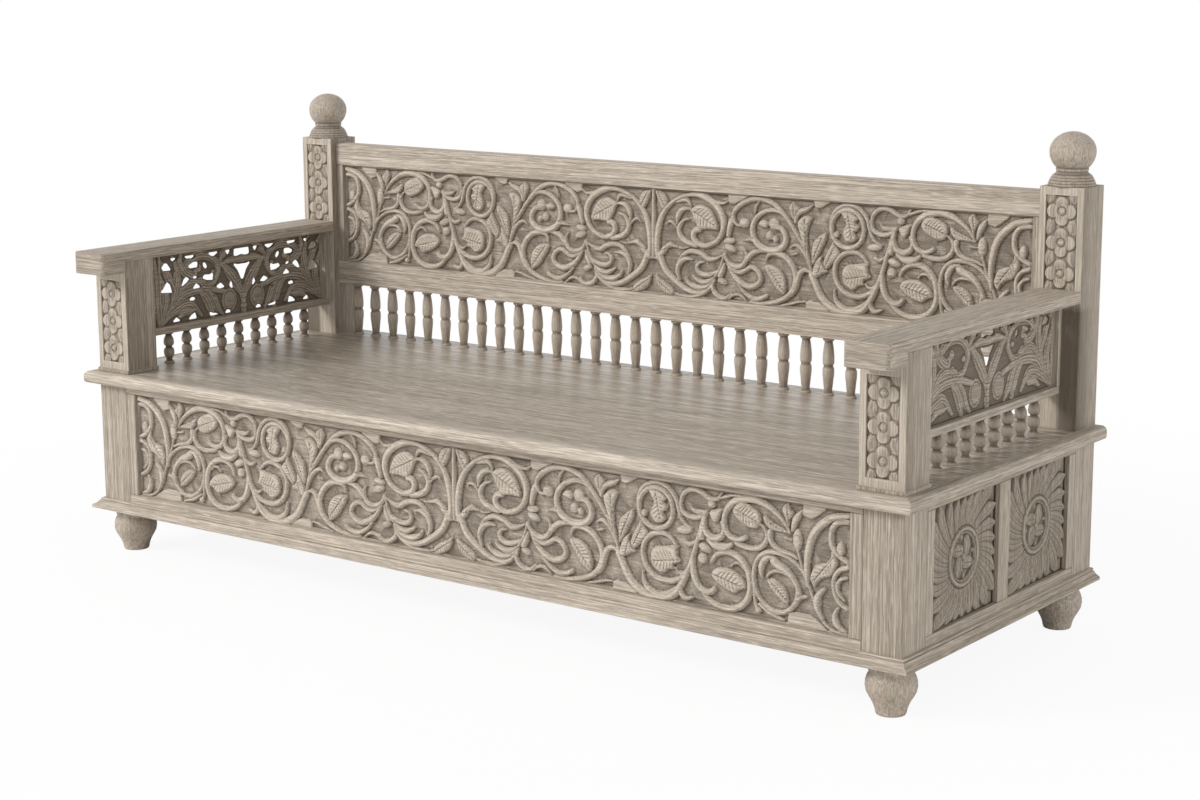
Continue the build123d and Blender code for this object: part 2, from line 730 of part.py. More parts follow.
# Piercings of an arm panel: (distance from the panel's middle, height above its lower edge),
# laid out for the drawn length and height and stretched to the opening. The first two stand on
# the middle; every other one is cut twice, once each side of it.
drawn_length = 510.0
drawn_height = 160.0
middle_piercings = [
    [(-24, 147), (24, 147), (25, 131), (12, 130), (0, 133), (-12, 130), (-25, 131)],
    [(-30, 115), (-14, 111), (14, 111), (30, 115), (14, 97), (4, 76), (-4, 76), (-14, 97)],
]
paired_piercings = [
    [(34, 147), (55, 147), (42, 135)],
    [(68, 147), (108, 147), (97, 140), (86, 137)],
    [(140, 147), (182, 147), (168, 141), (150, 140)],
    [(197, 147), (221, 147), (209, 138)],
    [(214, 120), (240, 121), (246, 130), (236, 138), (226, 136)],
    [(134, 118), (160, 118), (167, 124), (152, 131), (136, 131)],
    [(106, 116), (112, 111), (120, 118), (121, 127), (112, 126)],
    [(88, 84), (110, 86), (124, 92), (118, 99), (100, 98), (90, 104)],
    [(134, 96), (146, 93), (158, 98), (146, 100)],
    [(160, 94), (172, 101), (180, 96), (190, 80), (178, 82), (168, 88)],
    [(212, 70), (251, 74), (240, 86), (228, 97), (218, 88)],
    [(126, 71), (157, 71), (142, 84)],
    [(53, 64), (72, 62), (84, 68), (68, 76)],
    [(28, 60), (36, 59), (42, 66), (38, 76), (32, 74)],
    [(142, 50), (152, 45), (169, 47), (158, 54)],
    [(86, 50), (100, 51), (92, 46)],
    [(190, 4), (220, 4), (205, 15)],
    [(143, 4), (172, 4), (160, 14), (148, 19)],
    [(76, 4), (104, 4), (107, 15), (92, 9), (80, 8)],
    [(37, 4), (60, 4), (52, 12), (42, 11)],
]
piercings = middle_piercings + paired_piercings
piercings += [[(-u, v) for u, v in outline] for outline in paired_piercings]

# The right arm is drawn; the left one is its mirror image.
ends = {"left": lambda shape: mirror(shape, about=Plane.YZ), "right": lambda shape: shape}
rail = block(arm_fill, arm_gap, (arm_rail_bottom, arm_rail_top))
rail += block(lower_tenon_x, lower_tenon_y, lower_tenon_z)
rail -= panel_groove
hole_z = (arm_rail_bottom, arm_rail_bottom + rail_pin + fit)
rail -= [rod(arm_fill_x, y, hole_z, pin_hole) for y in arm_ys]

tongue_ends = (arm_gap[0] - arm_tongue, arm_gap[1] + arm_tongue)
stiles = []
for i in (0, 1):
    stile = block(arm_fill, sorted((arm_gap[i], arm_opening[i])), arm_panel_z)
    stile += block(arm_groove, sorted((tongue_ends[i], arm_gap[i])), arm_panel_z)
    stiles.append(stile - panel_groove)

panel = block(arm_slab, grow(arm_opening, -fit), (arm_rail_top, arm_under - fit))
panel += block(arm_groove, grow(arm_opening, arm_tongue), grow(arm_panel_z, arm_tongue))
panel_middle = (arm_opening[0] + arm_opening[1]) / 2
stretch_y = (arm_opening[1] - arm_opening[0]) / drawn_length
stretch_z = (arm_under - arm_rail_top) / drawn_height
for outline in piercings:
    points = [
        (arm_slab[0], panel_middle + u * stretch_y, arm_rail_top + v * stretch_z) for u, v in outline
    ]
    panel -= extrude(make_face(Polyline(*points, close=True)), arm_panel_thickness, dir=(1, 0, 0))

# Arm rest: thick rounded nose in front of the post, thinner board behind it.
post_x = (post_inner_x, end_x)
nose_z = (arm_top - nose_thickness, arm_top)
rest = block(post_x, (front_y - arm_overhang, back_post_front), nose_z)
rest -= block(post_x, (front_y, back_post_front), (nose_z[0], arm_under))
rest = fillet(rest.edges().filter_by(Axis.Z).group_by(Axis.Y)[0], nose_round)
rest = fillet(rest.faces().sort_by(Axis.Z)[-1].edges().group_by(Axis.Y)[0], arm_ease)
rest += block(rest_tenon_x, rest_tenon_y, rest_tenon_z)
rest -= block(grow(rest_tenon_x, fit), grow(post_stub_y, fit), grow(post_stub_z, fit))
rest -= panel_groove


def rosettes(face_y, bottom):
    """Flowers in the sunk field of a post whose front face is on face_y."""
    flower = Sketch() + [loc * Circle(petal_radius) for loc in PolarLocations(petal_ring, petals, 90)]
    solid = extrude(flower, rosette_height) + extrude(Circle(button_radius), button_height)
    flowers = []
    for i in range(rosette_count):
        z = bottom + (i + 0.5) * rosette_pitch
        flowers.append(Pos(post_centre_x, face_y + field_depth, z) * Rot(90, 0, 0) * solid)
    return flowers


dowel_z = (body_top - post_dowel_depth, seat_top)
lower_mortise = block(grow(lower_tenon_x, fit), grow(lower_tenon_y, fit), grow(lower_tenon_z, fit))

front_post = block(post_x, (front_y, arm_post_back), (seat_top, arm_under))
front_post += block(post_x, (front_y - shoe_reach, front_y), (seat_top, seat_top + shoe_height))
front_post += block(rest_tenon_x, post_stub_y, post_stub_z)
front_post += rod(post_centre_x, arm_post_y, dowel_z, post_dowel)
field_z = (arm_field_bottom, arm_field_bottom + field_height)
front_post -= block(field_x, (front_y, front_y + field_depth), field_z)
front_post -= [lower_mortise, stile_slots]
front_post += rosettes(front_y, arm_field_bottom)

back_post_y = back_y - back_post_depth / 2
back_post = block(post_x, (back_post_front, back_y), (seat_top, back_post_top))
back_post += rod(post_centre_x, back_post_y, dowel_z, post_dowel)
field_z = (arm_top, arm_top + field_height)
back_post -= block(field_x, (back_post_front, back_post_front + field_depth), field_z)
back_post += rosettes(back_post_front, arm_top)
back_post -= [lower_mortise, stile_slots]
back_post -= block(grow(rest_tenon_x, fit), grow(rest_tenon_y, fit), grow(rest_tenon_z, fit))
tenon_reach = grow(back_x, back_tenon + fit)
for tenon_z in (top_tenon_z, mid_tenon_z):
    back_post -= block(tenon_reach, grow(back_tenon_y, fit), grow(tenon_z, fit))
stile_reach = grow(back_x, back_stile_tongue + fit)
back_post -= block(stile_reach, grow(back_tenon_y, fit), back_panel_z)
socket = (back_post_top - finial_dowel_depth - fit, back_post_top)
back_post -= rod(post_centre_x, back_post_y, socket, finial_dowel + hole_fit)

for end, hand in ends.items():
    save(f"arm_lower_rail_{end}", hand(rail))
    save(f"arm_stiles_{end}", *[hand(stile) for stile in stiles])
    save(f"arm_panel_{end}", hand(panel))
    save(f"arm_rest_{end}", hand(rest))
    save(f"arm_post_{end}", hand(front_post))
    save(f"back_post_{end}", hand(back_post))
    save(f"finial_{end}", hand(Pos(post_centre_x, back_post_y, back_post_top) * finial))
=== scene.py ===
import math

import bmesh
import bpy
import numpy as np
from mathutils import Matrix, Vector


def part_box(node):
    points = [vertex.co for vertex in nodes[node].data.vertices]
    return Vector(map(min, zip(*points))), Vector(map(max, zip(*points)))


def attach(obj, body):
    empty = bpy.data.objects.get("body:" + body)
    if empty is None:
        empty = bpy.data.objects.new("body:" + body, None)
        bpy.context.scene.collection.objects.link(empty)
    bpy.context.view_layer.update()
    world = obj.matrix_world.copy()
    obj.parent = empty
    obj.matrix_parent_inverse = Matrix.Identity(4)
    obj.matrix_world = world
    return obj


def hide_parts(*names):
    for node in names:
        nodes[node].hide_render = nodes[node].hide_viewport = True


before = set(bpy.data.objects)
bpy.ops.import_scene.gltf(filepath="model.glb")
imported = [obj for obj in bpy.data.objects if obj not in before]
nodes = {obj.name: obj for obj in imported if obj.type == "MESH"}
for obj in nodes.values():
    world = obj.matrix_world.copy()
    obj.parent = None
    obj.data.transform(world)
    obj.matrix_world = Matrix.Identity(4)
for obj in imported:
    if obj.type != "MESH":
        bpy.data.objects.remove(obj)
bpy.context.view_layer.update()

# --- feet ----------------------------------------------------------------------------------------
# Turned from solid blocks of acacia, bleached and limed. The wax has gone into the end grain
# unevenly, so they are mottled brown and pinkish grey rather than streaked. Each has a dowel,
# glued into the corner post above it.
lime = (0.602, 0.526, 0.434)          # the pale tone of the wood, as linear colour
# The brown below is a stain, and in hollows and corners it is also painted shade.
stain_and_shade_brown = (0.092, 0.065, 0.042)         # the brown left in pores and corners
bare_end_grain = (0.50, 0.36, 0.28)   # pinkish, where the lime has not taken


def fill(tree, node, sockets):
    """Give each of a node's sockets a value, or another node's output."""
    for socket, value in sockets.items():
        if isinstance(value, bpy.types.NodeSocket):
            tree.links.new(value, node.inputs[socket])
        else:
            node.inputs[socket].default_value = value
    return node


def add_node(tree, kind, sockets=None, **settings):
    """A new node of a tree, with its settings made and its sockets filled."""
    node = tree.nodes.new(kind)
    for setting, value in settings.items():
        setattr(node, setting, value)
    return fill(tree, node, sockets or {})


def limed_wood(name, grain="z", pale=None, roughness=0.6, specular=0.35, streak=1.0, carved=0.0,
               mottle=0.0, shade=0.0, broad=1.0):
    """Bleached and limed acacia: pale between brown grain lines that run along one axis. Streak,
    mottle and shade say how strong the lines, the spots and the brown all over are. Broad widens
    the marks, and carved is the brown in the corners of a carving, stain and painted shade
    together; its crests are painted paler, for wear and a painted highlight."""
    paint = bpy.data.materials.new(name)
    paint.use_nodes = True
    tree = paint.node_tree
    where = add_node(tree, "ShaderNodeTexCoord").outputs["Object"]
    pale = pale or tuple(p + (s - p) * shade for p, s in zip(lime, stain_and_shade_brown))

    # Pale mixed toward the brown: for grain and pores, and for painted shade in hollows.
    def darkened(share):
        return tuple(p + (s - p) * share for p, s in zip(pale, stain_and_shade_brown))

    # A paler colour: for pale flecks, and for wear and painted highlight on crests.
    def paler(times):
        return tuple(min(1.0, times * p) for p in pale)

    def between(value, low, high):
        """0 where a value is low, 1 where it is high."""
        return add_node(tree, "ShaderNodeMapRange",
                        {"Value": value, "From Min": low, "From Max": high}).outputs["Result"]

    def texture(along, across, detail, low, high):
        """Noise from 0 to 1, with this many waves a metre along and across the grain."""
        waves = [along if axis == grain else across / broad for axis in "xyz"]
        place = add_node(tree, "ShaderNodeMapping", {"Vector": where, "Scale": waves})
        noise = add_node(tree, "ShaderNodeTexNoise",
                         {"Vector": place.outputs["Vector"], "Scale": 1.0, "Detail": detail})
        return between(noise.outputs["Fac"], low, high)

    def reckon(sum_kind, a, b):
        return add_node(tree, "ShaderNodeMath", {0: a, 1: b}, operation=sum_kind).outputs[0]

    def overlay(colour, marks, strength, tint):
        """A tint laid over a colour where the marks are 1, with this strength."""
        colour = (*colour, 1) if isinstance(colour, tuple) else colour
        return add_node(tree, "ShaderNodeMix", {0: reckon("MULTIPLY", marks, strength), 6: colour,
                                                7: (*tint, 1)}, data_type="RGBA").outputs[2]

    # Waves along and across, detail, and the noise that counts as 0 and as 1.
    bands = texture(1.3, 46.0, 2.0, 0.36, 0.64)
    clouds = texture(4.0, 8.0, 3.0, 0.32, 0.70)
    lines = texture(1.8, 330.0, 3.0, 0.38, 0.62)
    pores = texture(16.0, 620.0, 3.0, 0.45, 0.61)
    glints = texture(30.0, 470.0, 3.0, 0.53, 0.70)
    fibres = texture(240.0, 620.0, 3.0, 0.3, 0.7)
    colour = overlay(pale, bands, 0.40 * streak, darkened(0.42))
    colour = overlay(colour, clouds, 0.24, darkened(0.34))
    colour = overlay(colour, lines, 0.78 * streak, darkened(0.66))
    colour = overlay(colour, pores, 0.56, darkened(0.80))
    colour = overlay(colour, glints, 0.50, paler(1.25))
    height = reckon("SUBTRACT", reckon("MULTIPLY", fibres, 1.0 if carved else 0.5), pores)
    if mottle:
        spots = texture(130.0, 170.0, 6.0, 0.47, 0.72)
        patches = texture(60.0, 70.0, 3.0, 0.45, 0.75)
        colour = overlay(colour, spots, mottle, darkened(0.85))
        colour = overlay(colour, patches, 0.35, bare_end_grain)
    if carved:
        stipple = texture(360.0, 360.0, 2.0, 0.42, 0.62)
        lift, corner = (add_node(tree, "ShaderNodeAttribute", attribute_name=layer).outputs["Fac"]
                        for layer in ("lift", "corner"))
        worn_and_highlit = between(lift, 0.72, 1.0)
        ground = between(lift, 0.30, 0.0)
        pitted = reckon("MULTIPLY", ground, stipple)
        colour = overlay(colour, ground, 0.12, darkened(0.55))
        colour = overlay(colour, pitted, 0.36, darkened(0.85))
        # Wear and painted highlight: the crests and tops of a carving are paler.
        colour = overlay(colour, worn_and_highlit, 0.45, paler(1.35))
        # Stain and painted shade: brown in the hollows and corners that a carving marks.
        colour = overlay(colour, corner, carved, darkened(0.97))
        height = reckon("SUBTRACT", height, reckon("MULTIPLY", pitted, 1.6))
    relief = add_node(tree, "ShaderNodeBump", {
        "Height": reckon("SUBTRACT", height, lines), "Strength": 0.6,
        "Distance": 0.0008 if carved else 0.0005})
    fill(tree, tree.nodes["Principled BSDF"], {
        "Base Color": colour, "Roughness": roughness, "Specular IOR Level": specular,
        "Normal": relief.outputs["Normal"]})
    return paint


def finish_node(name, paint):
    """Give a CAD node a better material."""
    nodes[name].data.materials.clear()
    nodes[name].data.materials.append(paint)


mottled_wood = limed_wood("mottled_wood", streak=0.4, mottle=0.5, roughness=0.46, shade=0.02)
for name in nodes:
    if name.startswith("foot_"):
        finish_node(name, mottled_wood)

# --- corner posts, rails, uprights and plain boards ----------------------------------------------
# Sawn and planed acacia boards, tenoned together. The grain runs along each board. Every edge is
# eased by hand, so it shows as a thin pale line.
edge_width = 0.0013
sharp_edge = math.radians(40)
sawn_end = -0.6                       # a face of an arm rest that looks forward at least this much
worn_edge = limed_wood("worn_edge", streak=0.3, pale=(0.400, 0.325, 0.252))
along_x = limed_wood("limed_wood_along_x", "x", streak=0.85, pale=(0.712, 0.622, 0.521))
across_end = limed_wood("limed_wood_end", "x", shade=0.15)
along_y = limed_wood("limed_wood_along_y", "y", shade=0.05)
upright = limed_wood("limed_wood_upright")


def new_piece(name, mesh, *paints):
    """A mesh as an object of the scene, with its materials."""
    for paint in paints:
        mesh.materials.append(paint)
    piece = bpy.data.objects.new(name, mesh)
    bpy.context.scene.collection.objects.link(piece)
    return piece


def ride_root(piece, slot, *replaced):
    """A finished piece of the one body, in place of CAD nodes. The slot is not used."""
    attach(piece, "root")
    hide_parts(*replaced)


def eased(name, paint):
    """A copy of a CAD node with its triangles joined into boards and its edges rounded."""
    same_point = 0.00002
    same_plane = math.radians(1)
    mesh = nodes[name].data.copy()
    form = bmesh.new()
    form.from_mesh(mesh)
    bmesh.ops.remove_doubles(form, verts=form.verts, dist=same_point)
    bmesh.ops.dissolve_limit(form, angle_limit=same_plane, verts=form.verts, edges=form.edges)
    form.to_mesh(mesh)
    form.free()
    mesh.materials.clear()
    piece = new_piece(name + "_eased", mesh, paint, worn_edge, across_end)
    if name.startswith("arm_rest"):
        for face in mesh.polygons:
            if face.normal.y < sawn_end:
                face.material_index = 2
    edges = piece.modifiers.new("eased_edges", "BEVEL")
    edges.width = edge_width
    edges.segments = 2
    edges.material = 1
    edges.limit_method = "ANGLE"
    edges.angle_limit = sharp_edge
    edges.harden_normals = True
    edges.use_clamp_overlap = True
    ride_root(piece, "frame_wood", name)


boards = {
    along_x: ["front_top_rail", "front_bottom_rail", "back_top_rail", "back_bottom_rail",
              "back_base_panels", "backrest_top_rail", "backrest_mid_rail", "seat_nosing_front"],
    along_y: ["left_top_rail", "left_bottom_rail", "right_top_rail", "right_bottom_rail",
              "seat_bearers", "seat_nosing_left", "seat_nosing_right", "arm_lower_rail_left",
              "arm_lower_rail_right", "arm_rest_left", "arm_rest_right"],
    upright: [name for name in nodes if name.startswith("corner_post") or name.endswith("uprights")
              or name == "backrest_stiles"],
}
for paint, names in boards.items():
    for name in names:
        if "nosing" in name or "bearers" in name:
            finish_node(name, paint)
        else:
            eased(name, paint)

# --- front carved panel --------------------------------------------------------------------------
# One board of acacia let into the groove of the base frame, with the ground cut back 9 mm and the
# scrollwork left standing. Bleached and limed, so the tops are pale and the corners of the ground
# keep a brown stain. The colour also carries a painted highlight on the crests and painted shade
# in the hollows.
mm = 0.001                            # places are in metres, and the drawn carving in mm
carving_depth = 0.0088
panel_foot = 0.135                    # the lower edge of the openings in the base frame
panel_height = 223                    # in mm
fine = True
most_triangles = 190000               # of one piece, which is thinned down to this


def curve_through(points, closed=False, step=2.5):
    """Points every few millimetres along a smooth line through the given points."""
    p = np.array(points, float)
    p = np.vstack([p[-1:], p, p[:2]] if closed else [p[:1], p, p[-1:]])
    line = []
    for a, b, c, d in zip(p, p[1:], p[2:], p[3:]):
        count = max(2, int(np.linalg.norm(c - b) / step))
        t = np.linspace(0, 1, count, endpoint=False)[:, None]
        line.append(0.5 * (2 * b + (c - a) * t + (2 * a - 5 * b + 4 * c - d) * t ** 2
                           + (3 * b - a - 3 * c + d) * t ** 3))
    if not closed:
        line.append(p[-1:])
    return np.vstack(line)


def line_distance(x, z, a, b):
    """Distance of each point from the line a-b, and how far along it the nearest place is."""
    ab = b - a
    t = np.clip(((x - a[0]) * ab[0] + (z - a[1]) * ab[1]) / max(ab @ ab, 1e-9), 0, 1)
    return np.hypot(x - a[0] - t * ab[0], z - a[1] - t * ab[1]), t


def outline_distance(x, z, outline, farthest=1e9):
    """Distance of each point from a closed outline, and whether it lies inside."""
    nearest = np.full(x.shape, farthest)
    inside = np.zeros(x.shape, bool)
    for a, b in zip(outline, np.roll(outline, -1, axis=0)):
        nearest = np.minimum(nearest, line_distance(x, z, a, b)[0])
        if a[1] != b[1]:
            crosses = (a[1] > z) != (b[1] > z)
            inside ^= crosses & (x < (b[0] - a[0]) * (z - a[1]) / (b[1] - a[1]) + a[0])
    return nearest, inside


class Carving:
    """Heights of a carved face on an even grid: 0 at the ground, 1 at the top, lengths in mm."""

    flute = 0.10                      # the height taken off beside the crest of a stem

    def __init__(self, x_low, x_high, z_low, z_high, cell):
        self.x = np.linspace(x_low, x_high, int(round((x_high - x_low) / cell)) + 1)
        self.z = np.linspace(z_low, z_high, int(round((z_high - z_low) / cell)) + 1)
        self.h = np.zeros((len(self.z), len(self.x)))
        self.cell = self.x[1] - self.x[0]

    def window(self, low, high):
        """The part of the grid between two corners, and its x and z."""
        i = slice(*np.searchsorted(self.x, (low[0], high[0])))
        j = slice(*np.searchsorted(self.z, (low[1], high[1])))
        return ((j, i), *np.meshgrid(self.x[i], self.z[j]))

    def build_up(self, heights, part=...):
        """Raise a part of the face, or all of it, to these heights."""
        self.h[part] = np.maximum(self.h[part], heights)

    def stem(self, radii, points, rise=None):
        """A rounded stem whose radius changes evenly through the given radii. A thick one stands
        higher than a thin one, and each side of its crest is fluted."""
        thinnest_rise, rise_per_mm = 0.5, 0.065
        flute_place, flute_width = 0.55, 0.11
        path = curve_through(points)
        along = np.r_[0, np.cumsum(np.hypot(*np.diff(path, axis=0).T))]
        radius = np.interp(along / along[-1], np.linspace(0, 1, len(radii)), radii)
        for a, b, ra, rb in zip(path, path[1:], radius, radius[1:]):
            reach = max(ra, rb)
            part, x, z = self.window(np.minimum(a, b) - reach, np.maximum(a, b) + reach)
            distance, t = line_distance(x, z, a, b)
            width = ra + t * (rb - ra)
            share = distance / width
            cut = self.flute * np.exp(-((share - flute_place) / flute_width) ** 2)
            top = rise if rise else np.clip(thinnest_rise + rise_per_mm * width, 0, 1)
            self.build_up(top * (np.clip(1 - share ** 2, 0, 1) ** 0.5 - cut), part)

    def slit(self, radius, points, depth=0.35):
        """A narrow cut of the gouge, tapered at both ends, that stops short of the ground."""
        end_share, least = 0.45, 0.03
        path = curve_through(points, step=1.5)
        cut = np.zeros_like(self.h)
        for n, (a, b) in enumerate(zip(path, path[1:])):
            taper = math.sin(math.pi * (n + 0.5) / (len(path) - 1))
            r = radius * (end_share + (1 - end_share) * taper)
            part, x, z = self.window(np.minimum(a, b) - r, np.maximum(a, b) + r)
            distance, _ = line_distance(x, z, a, b)
            cut[part] = np.maximum(cut[part], depth * np.clip(1 - distance / r, 0, 1))
        self.h = np.maximum(self.h - cut, np.minimum(self.h, least))

    def blade(self, outline, rise=0.95, shoulder=7.0, smooth=True):
        """A leaf, bud or petal: a domed piece inside a closed outline."""
        path = curve_through(outline, closed=True, step=2.0) if smooth else np.array(outline, float)
        part, x, z = self.window(path.min(0) - 1, path.max(0) + 1)
        nearest, inside = outline_distance(x, z, path)
        slope = np.clip(nearest / shoulder, 0, 1)
        self.build_up(inside * rise * (1 - (1 - slope) ** 2) ** 0.5, part)

    def veins(self, outline, width):
        """The middle rib and side veins of a leaf, cut with a fine gouge."""
        rib_radius, rib_depth = 1.6, 0.34
        vein_radius, vein_depth = 1.25, 0.26
        path = np.array(outline, float)
        middle = path.mean(0)
        direction = np.linalg.svd(path - middle)[2][0]
        along = (path - middle) @ direction
        foot, tip = (middle + direction * end * 0.9 for end in (along.min(), along.max()))
        self.slit(rib_radius, [foot, middle, tip], rib_depth)
        side = np.array((-direction[1], direction[0])) * width / 2
        forward = (tip - foot) * 0.13
        for share in np.arange(0.16, 0.86, 0.115):
            start = foot + (tip - foot) * share
            reach = 0.95 * math.sin(math.pi * min(share + 0.1, 0.9))
            for hand in (1, -1):
                end = start + hand * side * reach + forward
                self.slit(vein_radius, [start, end], vein_depth)

    def bud(self, centre, half_length, half_width, towards=(1, 0), rise=0.9):
        """A plain oval bud lying along a direction."""
        c = np.array(centre, float)
        d = np.array(towards, float)
        d /= np.linalg.norm(d)
        reach = max(half_length, half_width)
        part, x, z = self.window(c - reach, c + reach)
        u = ((x - c[0]) * d[0] + (z - c[1]) * d[1]) / half_length
        v = ((x - c[0]) * -d[1] + (z - c[1]) * d[0]) / half_width
        self.build_up(rise * np.clip(1 - u ** 2 - v ** 2, 0, 1) ** 0.42, part)

    def wear_and_highlight(self, from_height, from_crests):
        """Wear and painted highlight of each point: by its height, and by how far it stands above
        what is near.
        """
        near = 3.0
        crest = np.clip(2.6 * (self.h - blur(self.h, near / self.cell)) - 0.1, 0, 1)
        return np.clip(from_height * self.h + from_crests * crest, 0, 1)


def blur(values, cells):
    """Evens out a grid of values over about this many cells, twice each way."""
    width = max(1, int(cells))
    for _ in range(4):
        total = np.cumsum(np.pad(values, ((width, width), (0, 0)), "edge"), axis=0)
        after = total[2 * width:2 * width + len(values)]
        before = np.vstack([np.zeros((1, total.shape[1])), total])[:len(values)]
        values = ((after - before) / (2 * width + 1)).T
    return values


def squares(number):
    """The four corners of every square of a grid of numbered points."""
    corners = [number[:-1, :-1], number[:-1, 1:], number[1:, 1:], number[1:, :-1]]
    return np.stack(corners, -1).reshape(-1, 4)


def mesh_of(name, points, faces):
    mesh = bpy.data.meshes.new(name)
    mesh.from_pydata(points, [], faces)
    return mesh


def mark_points(mesh, **layers):
    """Keep values from 0 to 1 on the points of a mesh, for its material to read."""
    for layer, values in layers.items():
        mesh.attributes.new(layer, "FLOAT", "POINT").data.foreach_set("value", values)


def make_plain(piece):
    """Turn what a piece's modifiers make into its own mesh."""
    piece.update_tag()
    seen = piece.evaluated_get(bpy.context.evaluated_depsgraph_get())
    plain = bpy.data.meshes.new_from_object(seen)
    piece.modifiers.clear()
    piece.data = plain


def carved_board(name, paint, carving, origin, across, outward, depth, back, hollow_stain_and_shade=(1.7, 2.0)):
    """A closed board whose front carries the carving. The origin is the lower left corner of the
    top of the relief, across its direction to the right, outward away from the board, and back
    the thickness. Hollow stain and shade is the brown in wide hollows and that in narrow
    corners, stain and painted shade together."""
    side_wear = 0.3
    origin, across, outward = (np.array(v, float) for v in (origin, across, outward))
    x, z = np.meshgrid(carving.x - carving.x[0], carving.z - carving.z[0])
    face = mm * (x[..., None] * across + z[..., None] * np.array((0, 0, 1.0)))
    grid = (origin + face - ((1 - carving.h) * depth)[..., None] * outward).reshape(-1, 3)
    number = np.arange(x.size).reshape(x.shape)
    quads = squares(number)
    rim = np.r_[number[0, :-1], number[:-1, -1], number[-1, :0:-1], number[:0:-1, 0]]
    behind = grid[rim] - np.outer((grid[rim] - origin) @ outward + back, outward)
    order = np.arange(len(rim))
    after = np.roll(order, -1)
    walls = np.stack([rim[after], rim, x.size + order, x.size + after], -1)
    faces = [*map(tuple, quads), *map(tuple, walls), tuple(x.size + order[::-1])]
    mesh = mesh_of(name, np.vstack([grid, behind]).tolist(), faces)
    # Stain and painted shade: brown where a point lies below what is near it.
    hollow, sharp = (blur(carving.h, width / carving.cell) - carving.h for width in (4.5, 1.6))
    corner = np.clip(hollow_stain_and_shade[0] * hollow + hollow_stain_and_shade[1] * sharp, 0, 1)
    mark_points(mesh, lift=np.r_[carving.wear_and_highlight(0.88, 0.4).ravel(), np.full(len(rim), side_wear)],
                corner=np.r_[corner.ravel(), np.zeros(len(rim))])
    piece = new_piece(name, mesh)
    triangles = 2 * len(quads) + 3 * len(rim)
    if fine and triangles > most_triangles:
        thin = piece.modifiers.new("thin", "DECIMATE")
        thin.ratio = most_triangles / triangles
        thin.use_collapse_triangulate = True
        make_plain(piece)
        piece.data.shade_smooth()
    else:
        smooth = np.arange(len(mesh.polygons)) < len(quads)
        mesh.polygons.foreach_set("use_smooth", smooth)
    piece.data.materials.append(paint)
    return piece


